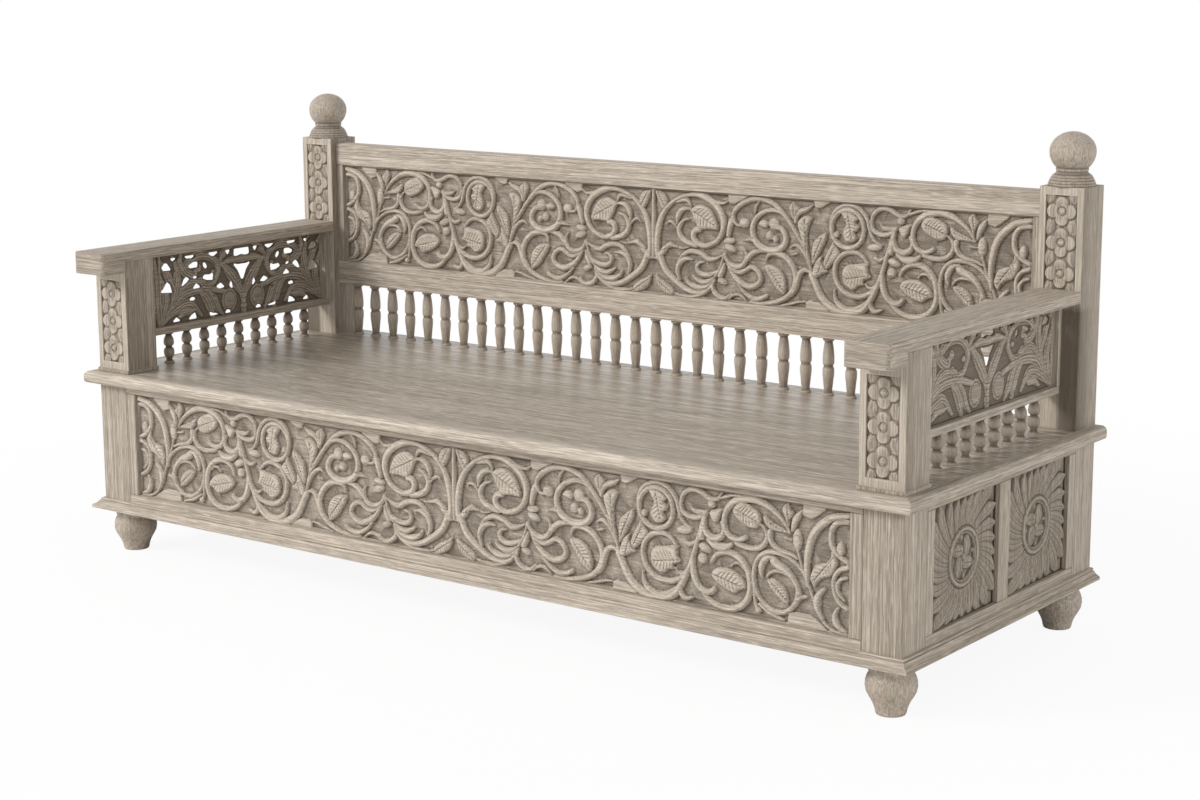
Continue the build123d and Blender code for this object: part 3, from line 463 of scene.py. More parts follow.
# Half of the front scrollwork, right of the middle, as it is drawn on a panel of this size, in mm:
# x from the middle, and z above the lower edge of the panel, which lies at the drawn foot. A stem
# is its radii and its line, a bud its middle, half length, half width and direction.
drawn_width, drawn_height, drawn_foot = 1788, 223, 20.3
stems = [
    ((4, 6, 5), [(0, 240), (0, 205), (0, 160), (0, 100)]),
    ((2, 3, 2), [(-14, 93), (0, 97), (14, 93)]),
    # first scroll
    ((7, 8, 8, 6, 4.5, 5, 8, 8, 8, 6, 6, 7, 7), [(12, 98), (9, 115), (9, 135), (12, 155), (17, 175),
     (26, 193), (40, 209), (58, 222), (80, 231), (107, 236), (130, 233), (150, 224), (166, 212),
     (177, 196), (180, 178), (176, 161), (167, 147), (153, 137), (134, 131), (116, 134), (105, 143),
     (103, 154), (109, 162), (119, 164)]),
    ((4, 4, 2), [(146, 229), (164, 223), (180, 222), (191, 229)]),
    ((3, 6, 7, 3), [(95, 205), (82, 205), (70, 199), (63, 187), (61, 172)]),
    ((2, 6, 7, 6), [(92, 184), (80, 181), (70, 172), (66, 160), (70, 148), (80, 139), (95, 133),
     (110, 130)]),
    ((2, 5, 5, 2), [(60, 217), (75, 222), (86, 223), (93, 218), (97, 209)]),
    ((2, 4, 2), [(34, 170), (42, 176), (53, 172), (61, 163)]),
    # acanthus of the first scroll
    ((3, 4, 4), [(180, 116), (177, 102), (171, 87), (160, 70)]),
    ((2, 5, 6.5, 6, 6, 5, 3), [(176, 114), (157, 105), (142, 104), (128, 112), (110, 117), (92, 116),
     (76, 107), (65, 95)]),
    ((2, 6, 7, 6, 4), [(102, 100), (86, 101), (72, 95), (64, 83), (63, 70), (68, 56)]),
    ((3, 6, 6, 5, 2), [(168, 82), (150, 73), (132, 70), (118, 75), (112, 85), (118, 94), (130, 97)]),
    ((3, 6, 6, 3), [(159, 68), (143, 58), (126, 55), (112, 60), (103, 66)]),
    ((3, 6, 7, 4), [(154, 60), (140, 48), (122, 43), (104, 45), (90, 52), (85, 60)]),
    ((8, 8, 7, 6, 5), [(16, 106), (22, 90), (31, 74), (44, 62), (60, 51), (78, 40), (98, 33),
     (120, 32), (139, 38), (151, 50)]),
    ((2, 5, 5, 3), [(55, 26), (80, 21.5), (104, 23), (126, 30), (143, 40), (153, 53)]),
    # stalk, cups and hooks between the first two scrolls
    ((3, 8, 7, 6), [(203, 198), (199, 185), (195, 172), (192, 158)]),
    ((4, 6, 6, 3), [(183, 118), (188, 106), (200, 97), (216, 94), (229, 99), (236, 110), (237, 122),
     (232, 131)]),
    ((2, 7, 6, 2), [(230, 98), (240, 112), (250, 123), (264, 129), (283, 130)]),
    ((3, 7, 7), [(183, 98), (178, 84), (172, 72)]),
    ((3, 6, 6, 3), [(158, 62), (153, 48), (158, 36), (172, 27), (188, 27), (200, 37)]),
    ((2, 4, 4, 2), [(194, 25), (204, 34), (217, 37), (229, 33), (238, 25)]),
    ((3, 5.5, 5.5, 6, 7, 7, 4), [(190, 97), (203, 88), (219, 83), (233, 87), (247, 95), (260, 93),
     (270, 84), (273, 71), (263, 60), (245, 55), (226, 61), (208, 74), (194, 92)]),
    ((3, 5, 6, 5), [(217, 58), (230, 45), (244, 36), (260, 31), (276, 34), (288, 40)]),
    # second scroll with its flower
    ((3, 6, 6, 6, 5, 5, 4), [(222, 179), (212, 181), (206, 190), (204, 201), (209, 210), (219, 220),
     (237, 230), (258, 236), (278, 236), (298, 231), (316, 221), (335, 203), (350, 186), (362, 170),
     (374, 154), (384, 137), (391, 118), (396, 98)]),
    ((2, 3.5, 2), [(258, 207), (260, 220), (268, 231)]),
    ((5, 5, 6, 7, 8, 8, 7, 6), [(330, 208), (318, 214), (303, 216), (286, 213), (270, 205),
     (258, 193), (252, 177), (254, 160), (263, 146), (279, 137), (298, 133), (316, 137), (329, 146),
     (334, 158), (331, 170), (322, 180), (312, 182)]),
    ((5, 6, 6, 2), [(357, 196), (360, 209), (370, 218), (384, 223), (397, 231)]),
    ((2, 5, 5, 4), [(346, 143), (356, 149), (370, 144), (382, 131), (391, 113)]),
    ((2, 3, 2), [(349, 129), (362, 132)]),
    # third scroll round a leaf
    ((3, 7, 7, 7, 6, 5, 4), [(287, 112), (290, 122), (304, 128), (322, 127), (340, 118), (353, 103),
     (359, 86), (357, 68), (349, 53), (335, 40), (316, 31), (293, 25), (268, 22), (250, 24)]),
    ((3, 7, 7, 3), [(394, 97), (381, 100), (370, 94), (364, 80), (359, 64), (351, 50), (338, 40)]),
    ((2, 3.5, 2), [(325, 24), (345, 28), (365, 34), (381, 36)]),
    # long stem of the fourth scroll, with the ring above and the ring below it
    ((8, 9, 10, 8, 6, 5, 4), [(397, 92), (404, 80), (412, 64), (424, 46), (440, 33), (458, 25),
     (482, 22), (505, 26), (523, 36), (536, 53), (546, 71), (556, 92), (564, 115), (571, 138),
     (578, 161), (585, 184), (592, 198)]),
    ((5.5, 5.5), [(519, 190), (514, 209), (500, 223), (481, 228), (462, 223), (448, 209), (443, 190),
     (448, 171), (462, 157), (481, 152), (500, 157), (514, 171), (519, 190)]),
    ((4, 5, 5, 5, 3), [(441, 188), (442, 206), (450, 222), (464, 233), (480, 238), (498, 236),
     (514, 227), (526, 212), (531, 196), (536, 182), (546, 169), (560, 163)]),
    ((4, 5.5, 6, 6, 5.5), [(528, 124), (517, 137), (503, 144), (487, 144), (470, 138), (458, 127),
     (452, 111), (453, 94), (460, 78), (473, 65), (490, 58), (510, 57), (529, 63), (545, 74),
     (556, 90)]),
    ((2, 4, 3), [(524, 84), (532, 77), (543, 78), (552, 88)]),
    ((3, 7, 7, 3), [(452, 66), (454, 50), (463, 37), (480, 29), (497, 29), (513, 37), (527, 48)]),
    ((3, 6, 6, 3), [(541, 66), (536, 52), (538, 38), (548, 31), (562, 35)]),
    ((8, 7, 8), [(584, 170), (581, 152)]),
    ((4, 5, 3), [(545, 137), (556, 133), (568, 140)]),
    ((5, 8, 7, 6), [(563, 112), (563, 92), (567, 74), (576, 59), (590, 51), (603, 52), (609, 58)]),
    # tulip between the fourth scroll and the great one
    ((4, 5.5, 5.5, 3), [(536, 205), (539, 220), (549, 231), (563, 236), (578, 234), (592, 227),
     (606, 223), (618, 227), (624, 237)]),
    ((4, 5.5, 5.5, 5), [(536, 207), (540, 193), (550, 186), (565, 184), (580, 188), (592, 198)]),
    ((2, 5, 5, 3), [(557, 203), (566, 197), (580, 196), (592, 199)]),
    ((4, 7, 7, 3), [(590, 192), (587, 177), (590, 163), (600, 154), (614, 153), (626, 160),
     (629, 172), (624, 184)]),
    ((5, 8, 8, 4), [(596, 149), (610, 140), (628, 138), (640, 142), (647, 148)]),
    # great scroll
    ((3, 5, 8, 8, 6, 6, 5), [(768, 186), (761, 198), (750, 210), (735, 221), (715, 231), (694, 236),
     (673, 234), (654, 227), (639, 214), (631, 197), (631, 179), (638, 165), (650, 158), (664, 158),
     (676, 164)]),
    ((2, 3.5, 3), [(608, 222), (625, 229), (645, 236), (665, 239)]),
    ((5, 5.5, 5.5, 2), [(656, 151), (672, 147), (690, 146), (706, 150), (717, 160), (721, 173),
     (716, 186), (706, 193)]),
    ((2, 2.5, 2), [(756, 176), (772, 174)]),
    ((6, 5, 3), [(727, 182), (728, 168), (737, 157), (752, 151), (770, 148), (784, 142)]),
    # ring round the low leaf
    ((4, 7, 7, 7, 5), [(604, 108), (611, 120), (624, 128), (641, 131), (658, 127), (672, 117),
     (682, 102), (686, 85), (686, 67), (680, 50), (668, 37), (651, 29), (631, 27), (611, 31),
     (595, 40), (582, 54)]),
    ((2, 3.5, 2), [(645, 106), (652, 113), (663, 114), (672, 106)]),
    # spiral at the end
    ((3, 5, 5, 5, 3), [(806, 100), (797, 118), (784, 131), (768, 140), (750, 145), (732, 146),
     (715, 141), (702, 129), (695, 112), (694, 92), (699, 72), (710, 55), (727, 43), (745, 38),
     (762, 42), (776, 54), (784, 70), (785, 87), (779, 100), (767, 109), (752, 113), (737, 112),
     (726, 106), (722, 100)]),
    ((3, 7, 7, 3), [(734, 138), (720, 133), (711, 121), (709, 108), (712, 98)]),
    ((9, 8, 6, 5), [(736, 130), (745, 124), (760, 118), (774, 107), (784, 93), (790, 80)]),
    ((3, 4, 4), [(691, 100), (694, 80), (696, 60), (699, 44), (705, 36)]),
    ((6, 6), [(703, 36), (706, 36)]),
    ((3, 5, 5, 3), [(772, 46), (782, 60), (790, 72), (804, 76)]),
    ((3, 5, 3), [(706, 47), (730, 34), (758, 26)]),
    # end of the panel: thin stem, the big C and two half scrolls
    ((3, 3.5, 3.5), [(785, 156), (793, 132), (800, 115), (809, 97), (818, 75), (828, 52), (843, 34),
     (862, 24), (887, 22)]),
    ((5, 8, 8, 6), [(806, 98), (804, 120), (804, 140), (807, 162), (813, 184), (824, 202),
     (839, 216), (857, 227), (888, 234)]),
    ((5, 6, 6, 5), [(887, 222), (868, 220), (856, 210), (852, 195), (853, 180), (860, 168),
     (872, 158), (887, 151)]),
    ((5, 5, 5), [(887, 142), (871, 136), (861, 124), (858, 108), (862, 90), (872, 76), (887, 68)]),
    ((3, 5, 3), [(885, 123), (873, 119), (866, 108), (869, 94), (881, 82)]),
    ((4, 9, 3), [(840, 96), (830, 86), (825, 72), (828, 56), (838, 43)]),
    ((3, 8, 3), [(868, 67), (862, 54), (864, 42), (873, 31), (886, 27)]),
]
blades = [
    [(5, 239), (15, 238), (28, 234), (37, 221), (36, 209), (26, 199), (17, 208), (9, 224)],
    [(6, 62), (19, 54), (37, 46), (52, 35), (55, 27), (46, 20), (30, 24), (14, 34), (6, 48)],
    [(95, 204), (112, 214), (130, 215), (148, 207), (160, 191), (167, 167), (144, 165), (119, 165),
     (107, 180), (100, 195)],
    [(16, 104), (19, 117), (30, 126), (43, 133), (60, 128), (78, 124), (98, 127), (78, 120),
     (60, 120), (48, 121), (38, 116), (28, 104)],
    [(226, 149), (242, 156), (256, 164), (258, 148)],
    [(266, 184), (277, 195), (292, 190), (287, 178)],
    [(391, 120), (387, 150), (386, 172), (390, 190), (397, 204), (394, 209), (381, 210), (369, 204),
     (362, 195), (364, 182), (374, 155), (384, 135)],
    [(354, 198), (341, 219), (343, 229), (351, 236), (361, 229), (366, 222)],
    [(398, 112), (396, 135), (400, 157), (409, 167), (420, 176), (430, 180), (433, 168), (426, 154),
     (419, 140), (410, 124)],
    [(399, 90), (402, 112), (412, 127), (421, 132), (423, 120), (428, 110), (437, 101), (424, 96),
     (412, 88)],
    [(283, 102), (300, 105), (319, 98), (332, 84), (337, 64), (333, 46), (321, 50), (308, 60),
     (297, 75), (288, 88)],
    [(465, 222), (478, 226), (492, 222), (505, 212), (500, 203), (508, 197), (504, 187), (498, 184),
     (503, 172), (494, 164), (480, 163), (472, 172), (470, 185), (476, 200), (470, 212)],
    [(447, 163), (458, 150), (464, 140), (454, 125), (440, 111), (431, 106), (424, 116), (426, 126),
     (433, 141), (442, 155)],
    [(526, 125), (531, 107), (537, 98), (522, 90), (522, 81), (510, 78), (501, 71), (490, 70),
     (474, 81), (470, 93), (470, 106), (479, 118), (500, 122)],
    [(598, 199), (610, 206), (627, 209), (623, 197), (618, 186), (611, 181), (604, 186)],
    [(648, 210), (656, 222), (668, 228), (690, 222), (706, 212), (709, 200), (704, 187), (690, 182),
     (672, 187), (655, 198)],
    [(712, 206), (718, 210), (729, 203), (745, 196), (759, 191), (770, 183), (752, 184), (730, 186),
     (719, 193)],
    [(766, 197), (756, 215), (752, 229), (763, 240), (770, 231), (777, 222), (769, 209)],
    [(771, 188), (771, 206), (776, 219), (788, 229), (795, 232), (792, 219), (784, 204), (779, 193)],
    [(603, 86), (611, 97), (627, 102), (647, 101), (665, 93), (677, 81), (679, 70), (667, 66),
     (655, 58), (640, 60), (627, 65), (611, 75)],
    [(722, 95), (734, 98), (747, 95), (759, 86), (766, 75), (768, 63), (765, 56), (752, 61),
     (738, 72), (727, 84)],
    [(853, 168), (861, 161), (867, 150), (863, 136), (854, 122), (838, 115), (827, 106), (820, 96),
     (811, 109), (813, 122), (820, 136), (831, 141), (843, 145), (852, 157)],
]
buds = [
    ((195, 146), 15, 7, (1, 0.1)), ((197, 131), 16, 8, (1, -0.35)), ((178, 61), 13, 7, (1, -0.35)),
    ((232, 185), 13, 11, (1, 0)), ((305, 188), 13, 13, (1, 0)), ((294, 163), 10, 10, (1, 0)),
    ((455, 177), 7, 7, (1, 0)), ((544, 158), 18, 8, (1, 0.1)), ((589, 131), 15, 8, (1, -0.3)),
    ((584, 111), 11, 10, (1, 0)), ((603, 214), 9, 8, (1, 0)), ((784, 176), 20, 10, (0, 1)),
    ((872, 173), 13, 9, (0, 1)), ((309, 158), 8, 7, (1, -1)),
]
plaques = [
    [(767, 42), (788, 46), (811, 45), (826, 39), (845, 27), (850, 20), (765, 20)],
    [(794, 244), (794, 221), (812, 216), (826, 225), (840, 236), (843, 244)],
    [(383, 19), (383, 36), (392, 40), (417, 38), (437, 27), (441, 19)],
    [(399, 244), (403, 228), (412, 226), (420, 228), (437, 238), (440, 244)],
    [(190, 244), (192, 224), (206, 221), (222, 229), (240, 238), (242, 244)],
]


def scrollwork(width, height):
    """Both halves of the scroll design, over a board of this width and height in mm."""
    cell = 1.6 if fine else 2.6
    border_width, border_rise = 5, 0.55
    plain_breadth, plain_length = 15, 32  # a leaf smaller than this has no veins
    carving = Carving(-width / 2, width / 2, 0, height, cell)
    wide, tall = width / drawn_width, height / drawn_height
    leaves = []

    def fit(points, side):
        return [(side * x * wide, (z - drawn_foot) * tall) for x, z in points]

    for side in (1, -1):
        for radii, points in stems:
            carving.stem(radii, fit(points, side))
        for outline in blades:
            carving.blade(fit(outline, side))
            spread = np.array(outline, float) - np.mean(outline, 0)
            length, breadth = 2.7 * np.linalg.svd(spread)[1] / len(outline) ** 0.5
            if breadth > plain_breadth and length > plain_length:
                leaves.append((fit(outline, side), breadth))
        for (x, z), length, breadth, (dx, dz) in buds:
            carving.bud(fit([(x, z)], side)[0], length, breadth, (side * dx, dz))
        for outline in plaques:
            carving.blade(fit(outline, side), rise=0.6, shoulder=3, smooth=False)
    for outline, breadth in leaves:
        carving.veins(outline, breadth)
    x, z = np.meshgrid(carving.x, carving.z)
    from_frame = np.minimum(width / 2 - np.abs(x), np.minimum(z, height - z))
    carving.build_up(border_rise * np.clip(1 - from_frame / border_width, 0, 1))
    return carving


carved_wood = limed_wood("carved_wood", "x", carved=1.0, streak=0.45, pale=(0.665, 0.580, 0.484))


def scroll_panel(name, node, width, height, foot, thickness):
    """A long panel of scrollwork in the middle of the bench, in place of its CAD node."""
    corner = (-width / 2 * mm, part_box(node)[0][1], foot)
    panel = carved_board(name, carved_wood, scrollwork(width, height), corner, (1, 0, 0), (0, -1, 0),
                         carving_depth, thickness, hollow_stain_and_shade=(0.8, 3.4))
    ride_root(panel, "carved_wood", node)


scroll_panel("front_carving", "front_base_panels", width=1788, height=panel_height,
             foot=panel_foot, thickness=0.024)

# --- carved end panels ---------------------------------------------------------------------------
# Four acacia panels, two in each end frame, 238 x 223 mm, carved 8 mm deep with a sun: a ring
# round four lobes, and broad leaves that swirl from the ring and end in points at the frame.
sun_width = 238                       # mm, as the other sizes of the carving are
ring_radius = 49.0
petal_count = 26
petal_swirl = math.radians(-16)
point_share = 0.72                    # where a leaf begins to narrow, as a share of its length
lobe_place, lobe_lean = 22, 52        # distance from the middle, and degrees from level
berry_place = 36
sun_depth = 0.008


def polar(radius, angle):
    return np.array((radius * math.cos(angle), radius * math.sin(angle)))


def sun(width, height, cell):
    """The sun, centred on a panel of this width and height in mm."""
    leaf_top, side_share, lap = 0.94, 0.34, 0.12
    rib_depth, vein_depth = 0.26, 0.12
    overlap = 1.06                    # how much wider a leaf is than its share of the circle
    least = 0.01
    carving = Carving(-width / 2, width / 2, -height / 2, height / 2, cell)
    x, z = np.meshgrid(carving.x, carving.z)
    radius = np.hypot(x, z)
    angle = np.arctan2(z, x)
    start = ring_radius + 4
    for number in range(petal_count):
        foot = 2 * math.pi * (number + 0.5) / petal_count
        aim = foot + petal_swirl
        to_frame = min((width / 2 - 1) / max(abs(math.cos(aim)), least),
                       (height / 2 - 1) / max(abs(math.sin(aim)), least))
        # Where each point lies: its share of the leaf's length, and how far aside of its rib.
        share = (radius - start) / (to_frame - start)
        turn = (angle - foot - petal_swirl * np.clip(share, 0, 1.2) + math.pi) % (2 * math.pi) - math.pi
        aside = radius * np.sin(np.clip(turn, -1.5, 1.5))
        narrowing = np.clip(share - point_share, 0, 1) / (1 - point_share)
        sector = overlap * math.pi * radius / petal_count
        half = np.maximum(sector * np.clip(1 - narrowing ** 1.6, 0, 1), least)
        across = np.abs(aside) / half
        inside = (share > -0.3) & (share < 1) & (np.abs(turn) < 1) & (across < 1)
        # A dome that rises from the ring, is higher on one side, and has a rib and side veins.
        dome = np.clip(1 - across ** 2, 0, 1) ** 0.5
        lapped = lap * np.clip(aside / half, -1, 1)
        top = leaf_top * (0.78 + 0.22 * np.clip(share * 2, 0, 1))
        veins = rib_depth * np.exp(-(aside / 1.3) ** 2)
        for off in (0.42, 0.72):
            veins = veins + vein_depth * np.exp(-((across - off) / 0.10) ** 2)
        leaf = (side_share + (1 - side_share) * dome) * top + lapped - veins * dome
        carving.build_up(np.where(inside, leaf, 0))
    # A moat cuts the leaves back round the ring, and the field inside it is sunk for the lobes.
    carving.h = np.where(radius < ring_radius + 9, np.minimum(carving.h, 0.40), carving.h)
    carving.h = np.where(radius < ring_radius - 5, 0, carving.h)
    for middle, half, top in ((ring_radius + 2, 5.2, 0.97), (ring_radius - 5.2, 2.4, 0.75)):
        bead = np.clip(1 - ((radius - middle) / half) ** 2, 0, 1) ** 0.5
        carving.build_up(top * bead)
    for quarter in range(4):
        lean = math.radians(90 * quarter + lobe_lean)
        place = polar(lobe_place, lean)
        along = polar(1, lean + 0.55)
        carving.bud(place, 21, 12.5, along, rise=0.88)
        carving.slit(1.6, [place - 13 * along, place, place + 13 * along], 0.3)
        carving.bud(polar(berry_place, lean + 0.8), 6, 4.5, along, rise=0.6)
    carving.bud((0, 0), 6.5, 6.5, rise=0.95)
    carving.h = np.clip(carving.h, 0, 1)
    return carving


def joined(name, pieces):
    """Several finished pieces as one object of plain mesh."""
    form = bmesh.new()
    for piece in pieces:
        form.from_mesh(piece.data)
    mesh = bpy.data.meshes.new(name)
    form.to_mesh(mesh)
    form.free()
    whole = new_piece(name, mesh, pieces[0].data.materials[0])
    for piece in pieces:
        bpy.data.objects.remove(piece)
    return whole


sun_wood = limed_wood("carved_end_wood", carved=1.0, shade=0.32)
end_carving = sun(sun_width, panel_height, 1.1 if fine else 2.0)
for side, sign, starts in (("right", 1, (-0.230, 0.050)), ("left", -1, (0.008, 0.288))):
    low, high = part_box(side + "_base_panels")
    face = high[0] if sign > 0 else low[0]
    panels = [carved_board(side + "_sun", sun_wood, end_carving, (face, start, panel_foot),
                           (0, sign, 0), (sign, 0, 0), sun_depth, high[0] - low[0], hollow_stain_and_shade=(2.6, 2.8))
              for start in starts]
    ride_root(joined(side + "_carved_suns", panels), "carved_wood", side + "_base_panels")

# --- base mouldings ------------------------------------------------------------------------------
# Three lengths of acacia run with a fillet, an ogee and a small bead, mitred at the front corners
# and planted on the bottom rails and posts. The numbers are outward and upward, in mm.
base_profile = [
    (0, 95), (20.8, 95), (22, 96.2), (22, 100.4), (20.6, 101.0), (20.2, 102.4), (18.6, 103.2),
    (15.2, 104.8), (12.6, 106.8), (10.8, 109.2), (9.8, 111.2), (8.2, 111.6), (6.4, 111.4),
    (6.0, 112.2), (7.4, 113.2), (7.8, 114.6), (7.0, 116.0), (5.0, 116.8), (0, 117),
]
base_corners = [((-1.0, 0.394), (-1, 0)), ((-1.0, -0.336), (-1, -1)),
                ((1.0, -0.336), (1, -1)), ((1.0, 0.394), (1, 0))]
lengths = ("left", "front", "right")
around = len(base_profile)
moulding_points = [(x + mm * out * out_x, y + mm * out * out_y, mm * up)
                   for (x, y), (out_x, out_y) in base_corners for out, up in base_profile]
moulding_faces = [tuple(range(around)), tuple(range(4 * around - 1, 3 * around - 1, -1))]
for length in range(len(lengths)):
    for n in range(around):
        a, b = length * around + n, length * around + (n + 1) % around
        moulding_faces.append((b, a, a + around, b + around))
moulding = new_piece("base_moulding", mesh_of("base_moulding", moulding_points, moulding_faces),
                     along_x, along_y)
first_of_front = 2 + lengths.index("front") * around
for n, face in enumerate(moulding.data.polygons):
    face.material_index = 0 if first_of_front <= n < first_of_front + around else 1
ride_root(moulding, "frame_wood", "base_moulding_front", "base_moulding_left", "base_moulding_right")

# --- seat ----------------------------------------------------------------------------------------
# One wide board of acacia, sanded smooth and waxed, so it is darker than the rest and takes a
# soft shine. It is tongued into a rounded nosing on three sides.
deck_wood = limed_wood("deck_wood", "x", roughness=0.33, specular=0.55, shade=0.03, broad=3.2)
finish_node("seat_board", deck_wood)

# --- arm posts and back posts --------------------------------------------------------------------
# Square acacia posts, dowelled through the seat into the corner posts. A field on the front of
# each is cut back 5 mm round three rosettes of four dished petals, with a leaf in every gap. A
# thin shoe closes the foot of each arm post.
post_width = 92.0                     # mm, as the other sizes of the carving are
field_height, field_half = 177, 32
rosette_pitch = 59.0
petals = ((0, 14.5, 14.2), (17.0, -0.5, 14.8), (0, -15.0, 14.2), (-17.0, -0.5, 14.8))
field_ground = 0.22                   # height of the ground, as a share of the depth
field_depth, post_thickness = 0.006, 0.082    # metres, as the next values are
arm_post_front, back_post_front = -0.336, 0.312
seat_top, under_arm_rest = 0.400, 0.646
shoe_middle, shoe_size = (0.046, -0.2945, 0.404), (0.098, 0.089, 0.008)
post_wood = limed_wood("carved_post_wood", carved=0.8)


def rosette_post(name, left, front, height, field_low):
    """One post of this height, with its sunk field from a height in mm above the foot."""
    carving = Carving(-post_width / 2, post_width / 2, 0, height, 0.8 if fine else 1.6)
    middle = field_low + field_height / 2
    # A leaf with a rib in each gap beside the rosettes.
    for n in (-1.5, -0.5, 0.5, 1.5):
        for side in (-1, 1):
            across, up = side * 23.5, middle + n * rosette_pitch
            carving.bud((across, up), 17.5, 11.5, (-side * 0.3, 1), rise=0.82)
            rib = [(across + side * 3, up - 10), (across, up), (across - side * 3, up + 8)]
            carving.slit(1.3, rib, 0.2)
    # The rosettes: dished petals inside a moat, round a ring and a button.
    for n in (-1, 0, 1):
        centre = middle + n * rosette_pitch
        part, x, z = carving.window((-field_half, centre - 32), (field_half, centre + 32))
        from_middle = np.hypot(x, z - centre)
        dish = 0.60 + 0.50 * np.clip(from_middle / 26, 0, 1) ** 1.5
        flower = np.zeros(x.shape)
        moat = np.zeros(x.shape, bool)
        for dx, dz, radius in petals:
            share = np.hypot(x - dx, z - centre - dz) / radius
            rim = np.clip((1 - share) * 4.5, 0, 1) ** 0.5 * (1 - 0.22 * share ** 2)
            flower = np.maximum(flower, rim * dish)
            moat |= share < 1.07
        carving.h[part] = np.where(moat, flower, carving.h[part])
        ring = np.clip(1 - np.abs(from_middle - 8.2) / 2.2, 0, 1)
        carving.h[part] -= 0.35 * ring * (carving.h[part] > 0.3)
        carving.bud((0, centre), 6.6, 6.6, rise=0.92)
    # The plain wood round the field, eased along the edges of the post.
    x, z = np.meshgrid(carving.x, carving.z)
    plain = (np.abs(x) > field_half) | (z < field_low) | (z > field_low + field_height)
    to_edge = np.minimum(post_width / 2 - np.abs(x), np.minimum(z + 50, height - z + 50))
    eased_edge = 1 - np.clip(1 - to_edge / 2.0, 0, 1) ** 2 * 0.28
    carving.h = np.where(plain, eased_edge, np.clip(carving.h, field_ground, 0.97))
    return carved_board(name + "_carved", post_wood, carving, (left, front, seat_top), (1, 0, 0),
                        (0, -1, 0), field_depth, post_thickness)


def paint_shade_beside_arm(post):
    """Painted shade: brown on the front of a back post, outside the arm panel and below the arm
    rest, where the arm keeps the light off.
    """
    shade_start, full_within, fade_height, reach_back = 0.952, 0.012, 0.02, 0.02
    corner = post.data.attributes["corner"].data
    for n, point in enumerate(post.data.vertices):
        outward = min(1, max(0, (abs(point.co.x) - shade_start) / full_within))
        below = min(1, max(0, (under_arm_rest - point.co.z) / fade_height))
        if outward * below and point.co.y < back_post_front + reach_back:
            corner[n].value = max(corner[n].value, outward * below)


def block(name, paint, centre, size, ease=0):
    """A plain block of wood, with its edges rounded by this much."""
    form = bmesh.new()
    bmesh.ops.create_cube(form, size=1, matrix=Matrix.LocRotScale(Vector(centre), None, Vector(size)))
    if ease:
        bmesh.ops.bevel(form, geom=form.edges[:], offset=ease, segments=2, affect="EDGES")
    mesh = bpy.data.meshes.new(name)
    form.to_mesh(mesh)
    form.free()
    return new_piece(name, mesh, paint)


for side, left in (("right", 0.908), ("left", -1.0)):
    arm_post = rosette_post("arm_post_" + side, left, arm_post_front, height=244, field_low=24)
    x, y, z = shoe_middle
    shoe = block("shoe", post_wood, (left + x, y, z), shoe_size, ease=0.0015)
    corners = len(shoe.data.vertices)
    mark_points(shoe.data, lift=np.full(corners, 0.5), corner=np.zeros(corners))
    ride_root(joined("arm_post_and_shoe_" + side, [arm_post, shoe]), "frame_wood", "arm_post_" + side)
    back_post = rosette_post("back_post_" + side, left, back_post_front, height=460, field_low=267)
    paint_shade_beside_arm(back_post)
    ride_root(back_post, "frame_wood", "back_post_" + side)

# --- ball finials --------------------------------------------------------------------------------
# Turned from the same acacia: a stepped collar with dark rings, a beaded neck and a ball a little
# flattened on top. Each is glued by a dowel into its back post. Radius and height are in mm, and
# the third number is how dark that ring is painted, darkest in the grooves.
collar = [
    (45, 0, 0.6), (45, 3.4, 0.1), (44.4, 4.6, 0.3), (43.0, 5.2, 1.0), (43.7, 6.2, 0.3),
    (42.8, 9.6, 0.1), (41.0, 10.6, 1.0), (41.6, 11.8, 0.3), (40.2, 15.0, 0.1), (38.2, 16.0, 1.0),
    (38.4, 17.2, 0.3), (36.6, 20.2, 0.2), (33.6, 21.4, 0.9), (30.8, 24.4, 0.4), (28.8, 26.6, 0.9),
    (30.4, 28.6, 0.2), (31.0, 31.0, 0.1), (30.0, 33.2, 0.9),
]
ball_radius, ball_middle = 43.6, 64.5
ball_above, ball_below = 36.8, 42.5   # its half heights
turned_edges = 72
finial_x, finial_y, finial_foot = 0.954, 0.353, 0.860
finial_wood = limed_wood("finial_wood", streak=0.4, mottle=0.5, roughness=0.42, carved=0.9)
turning = list(collar)
for step in range(25):
    lean = math.radians(-44 + 5.5 * step)
    half = ball_above if lean > 0 else ball_below
    turning.append((ball_radius * math.cos(lean), ball_middle + half * math.sin(lean),
                    0.5 if step == 0 else 0))
for side, sign in (("right", 1), ("left", -1)):
    points, darkened, faces = [], [], []
    for radius, height, dark in turning:
        for n in range(turned_edges):
            turn = 2 * math.pi * n / turned_edges
            points.append((sign * finial_x + mm * radius * math.cos(turn),
                           finial_y + mm * radius * math.sin(turn), finial_foot + mm * height))
            darkened.append(dark)
    number = np.arange(len(points)).reshape(len(turning), turned_edges)
    faces = squares(np.c_[number, number[:, 0]]).tolist()
    faces.append(number[0, ::-1].tolist())
    faces.append(number[-1].tolist())
    finial = new_piece("turned_finial_" + side, mesh_of("turned_finial", points, faces), finial_wood)
    mark_points(finial.data, lift=np.full(len(points), 0.5), corner=darkened)
    finial.data.shade_smooth()
    ride_root(finial, "frame_wood", "finial_" + side)

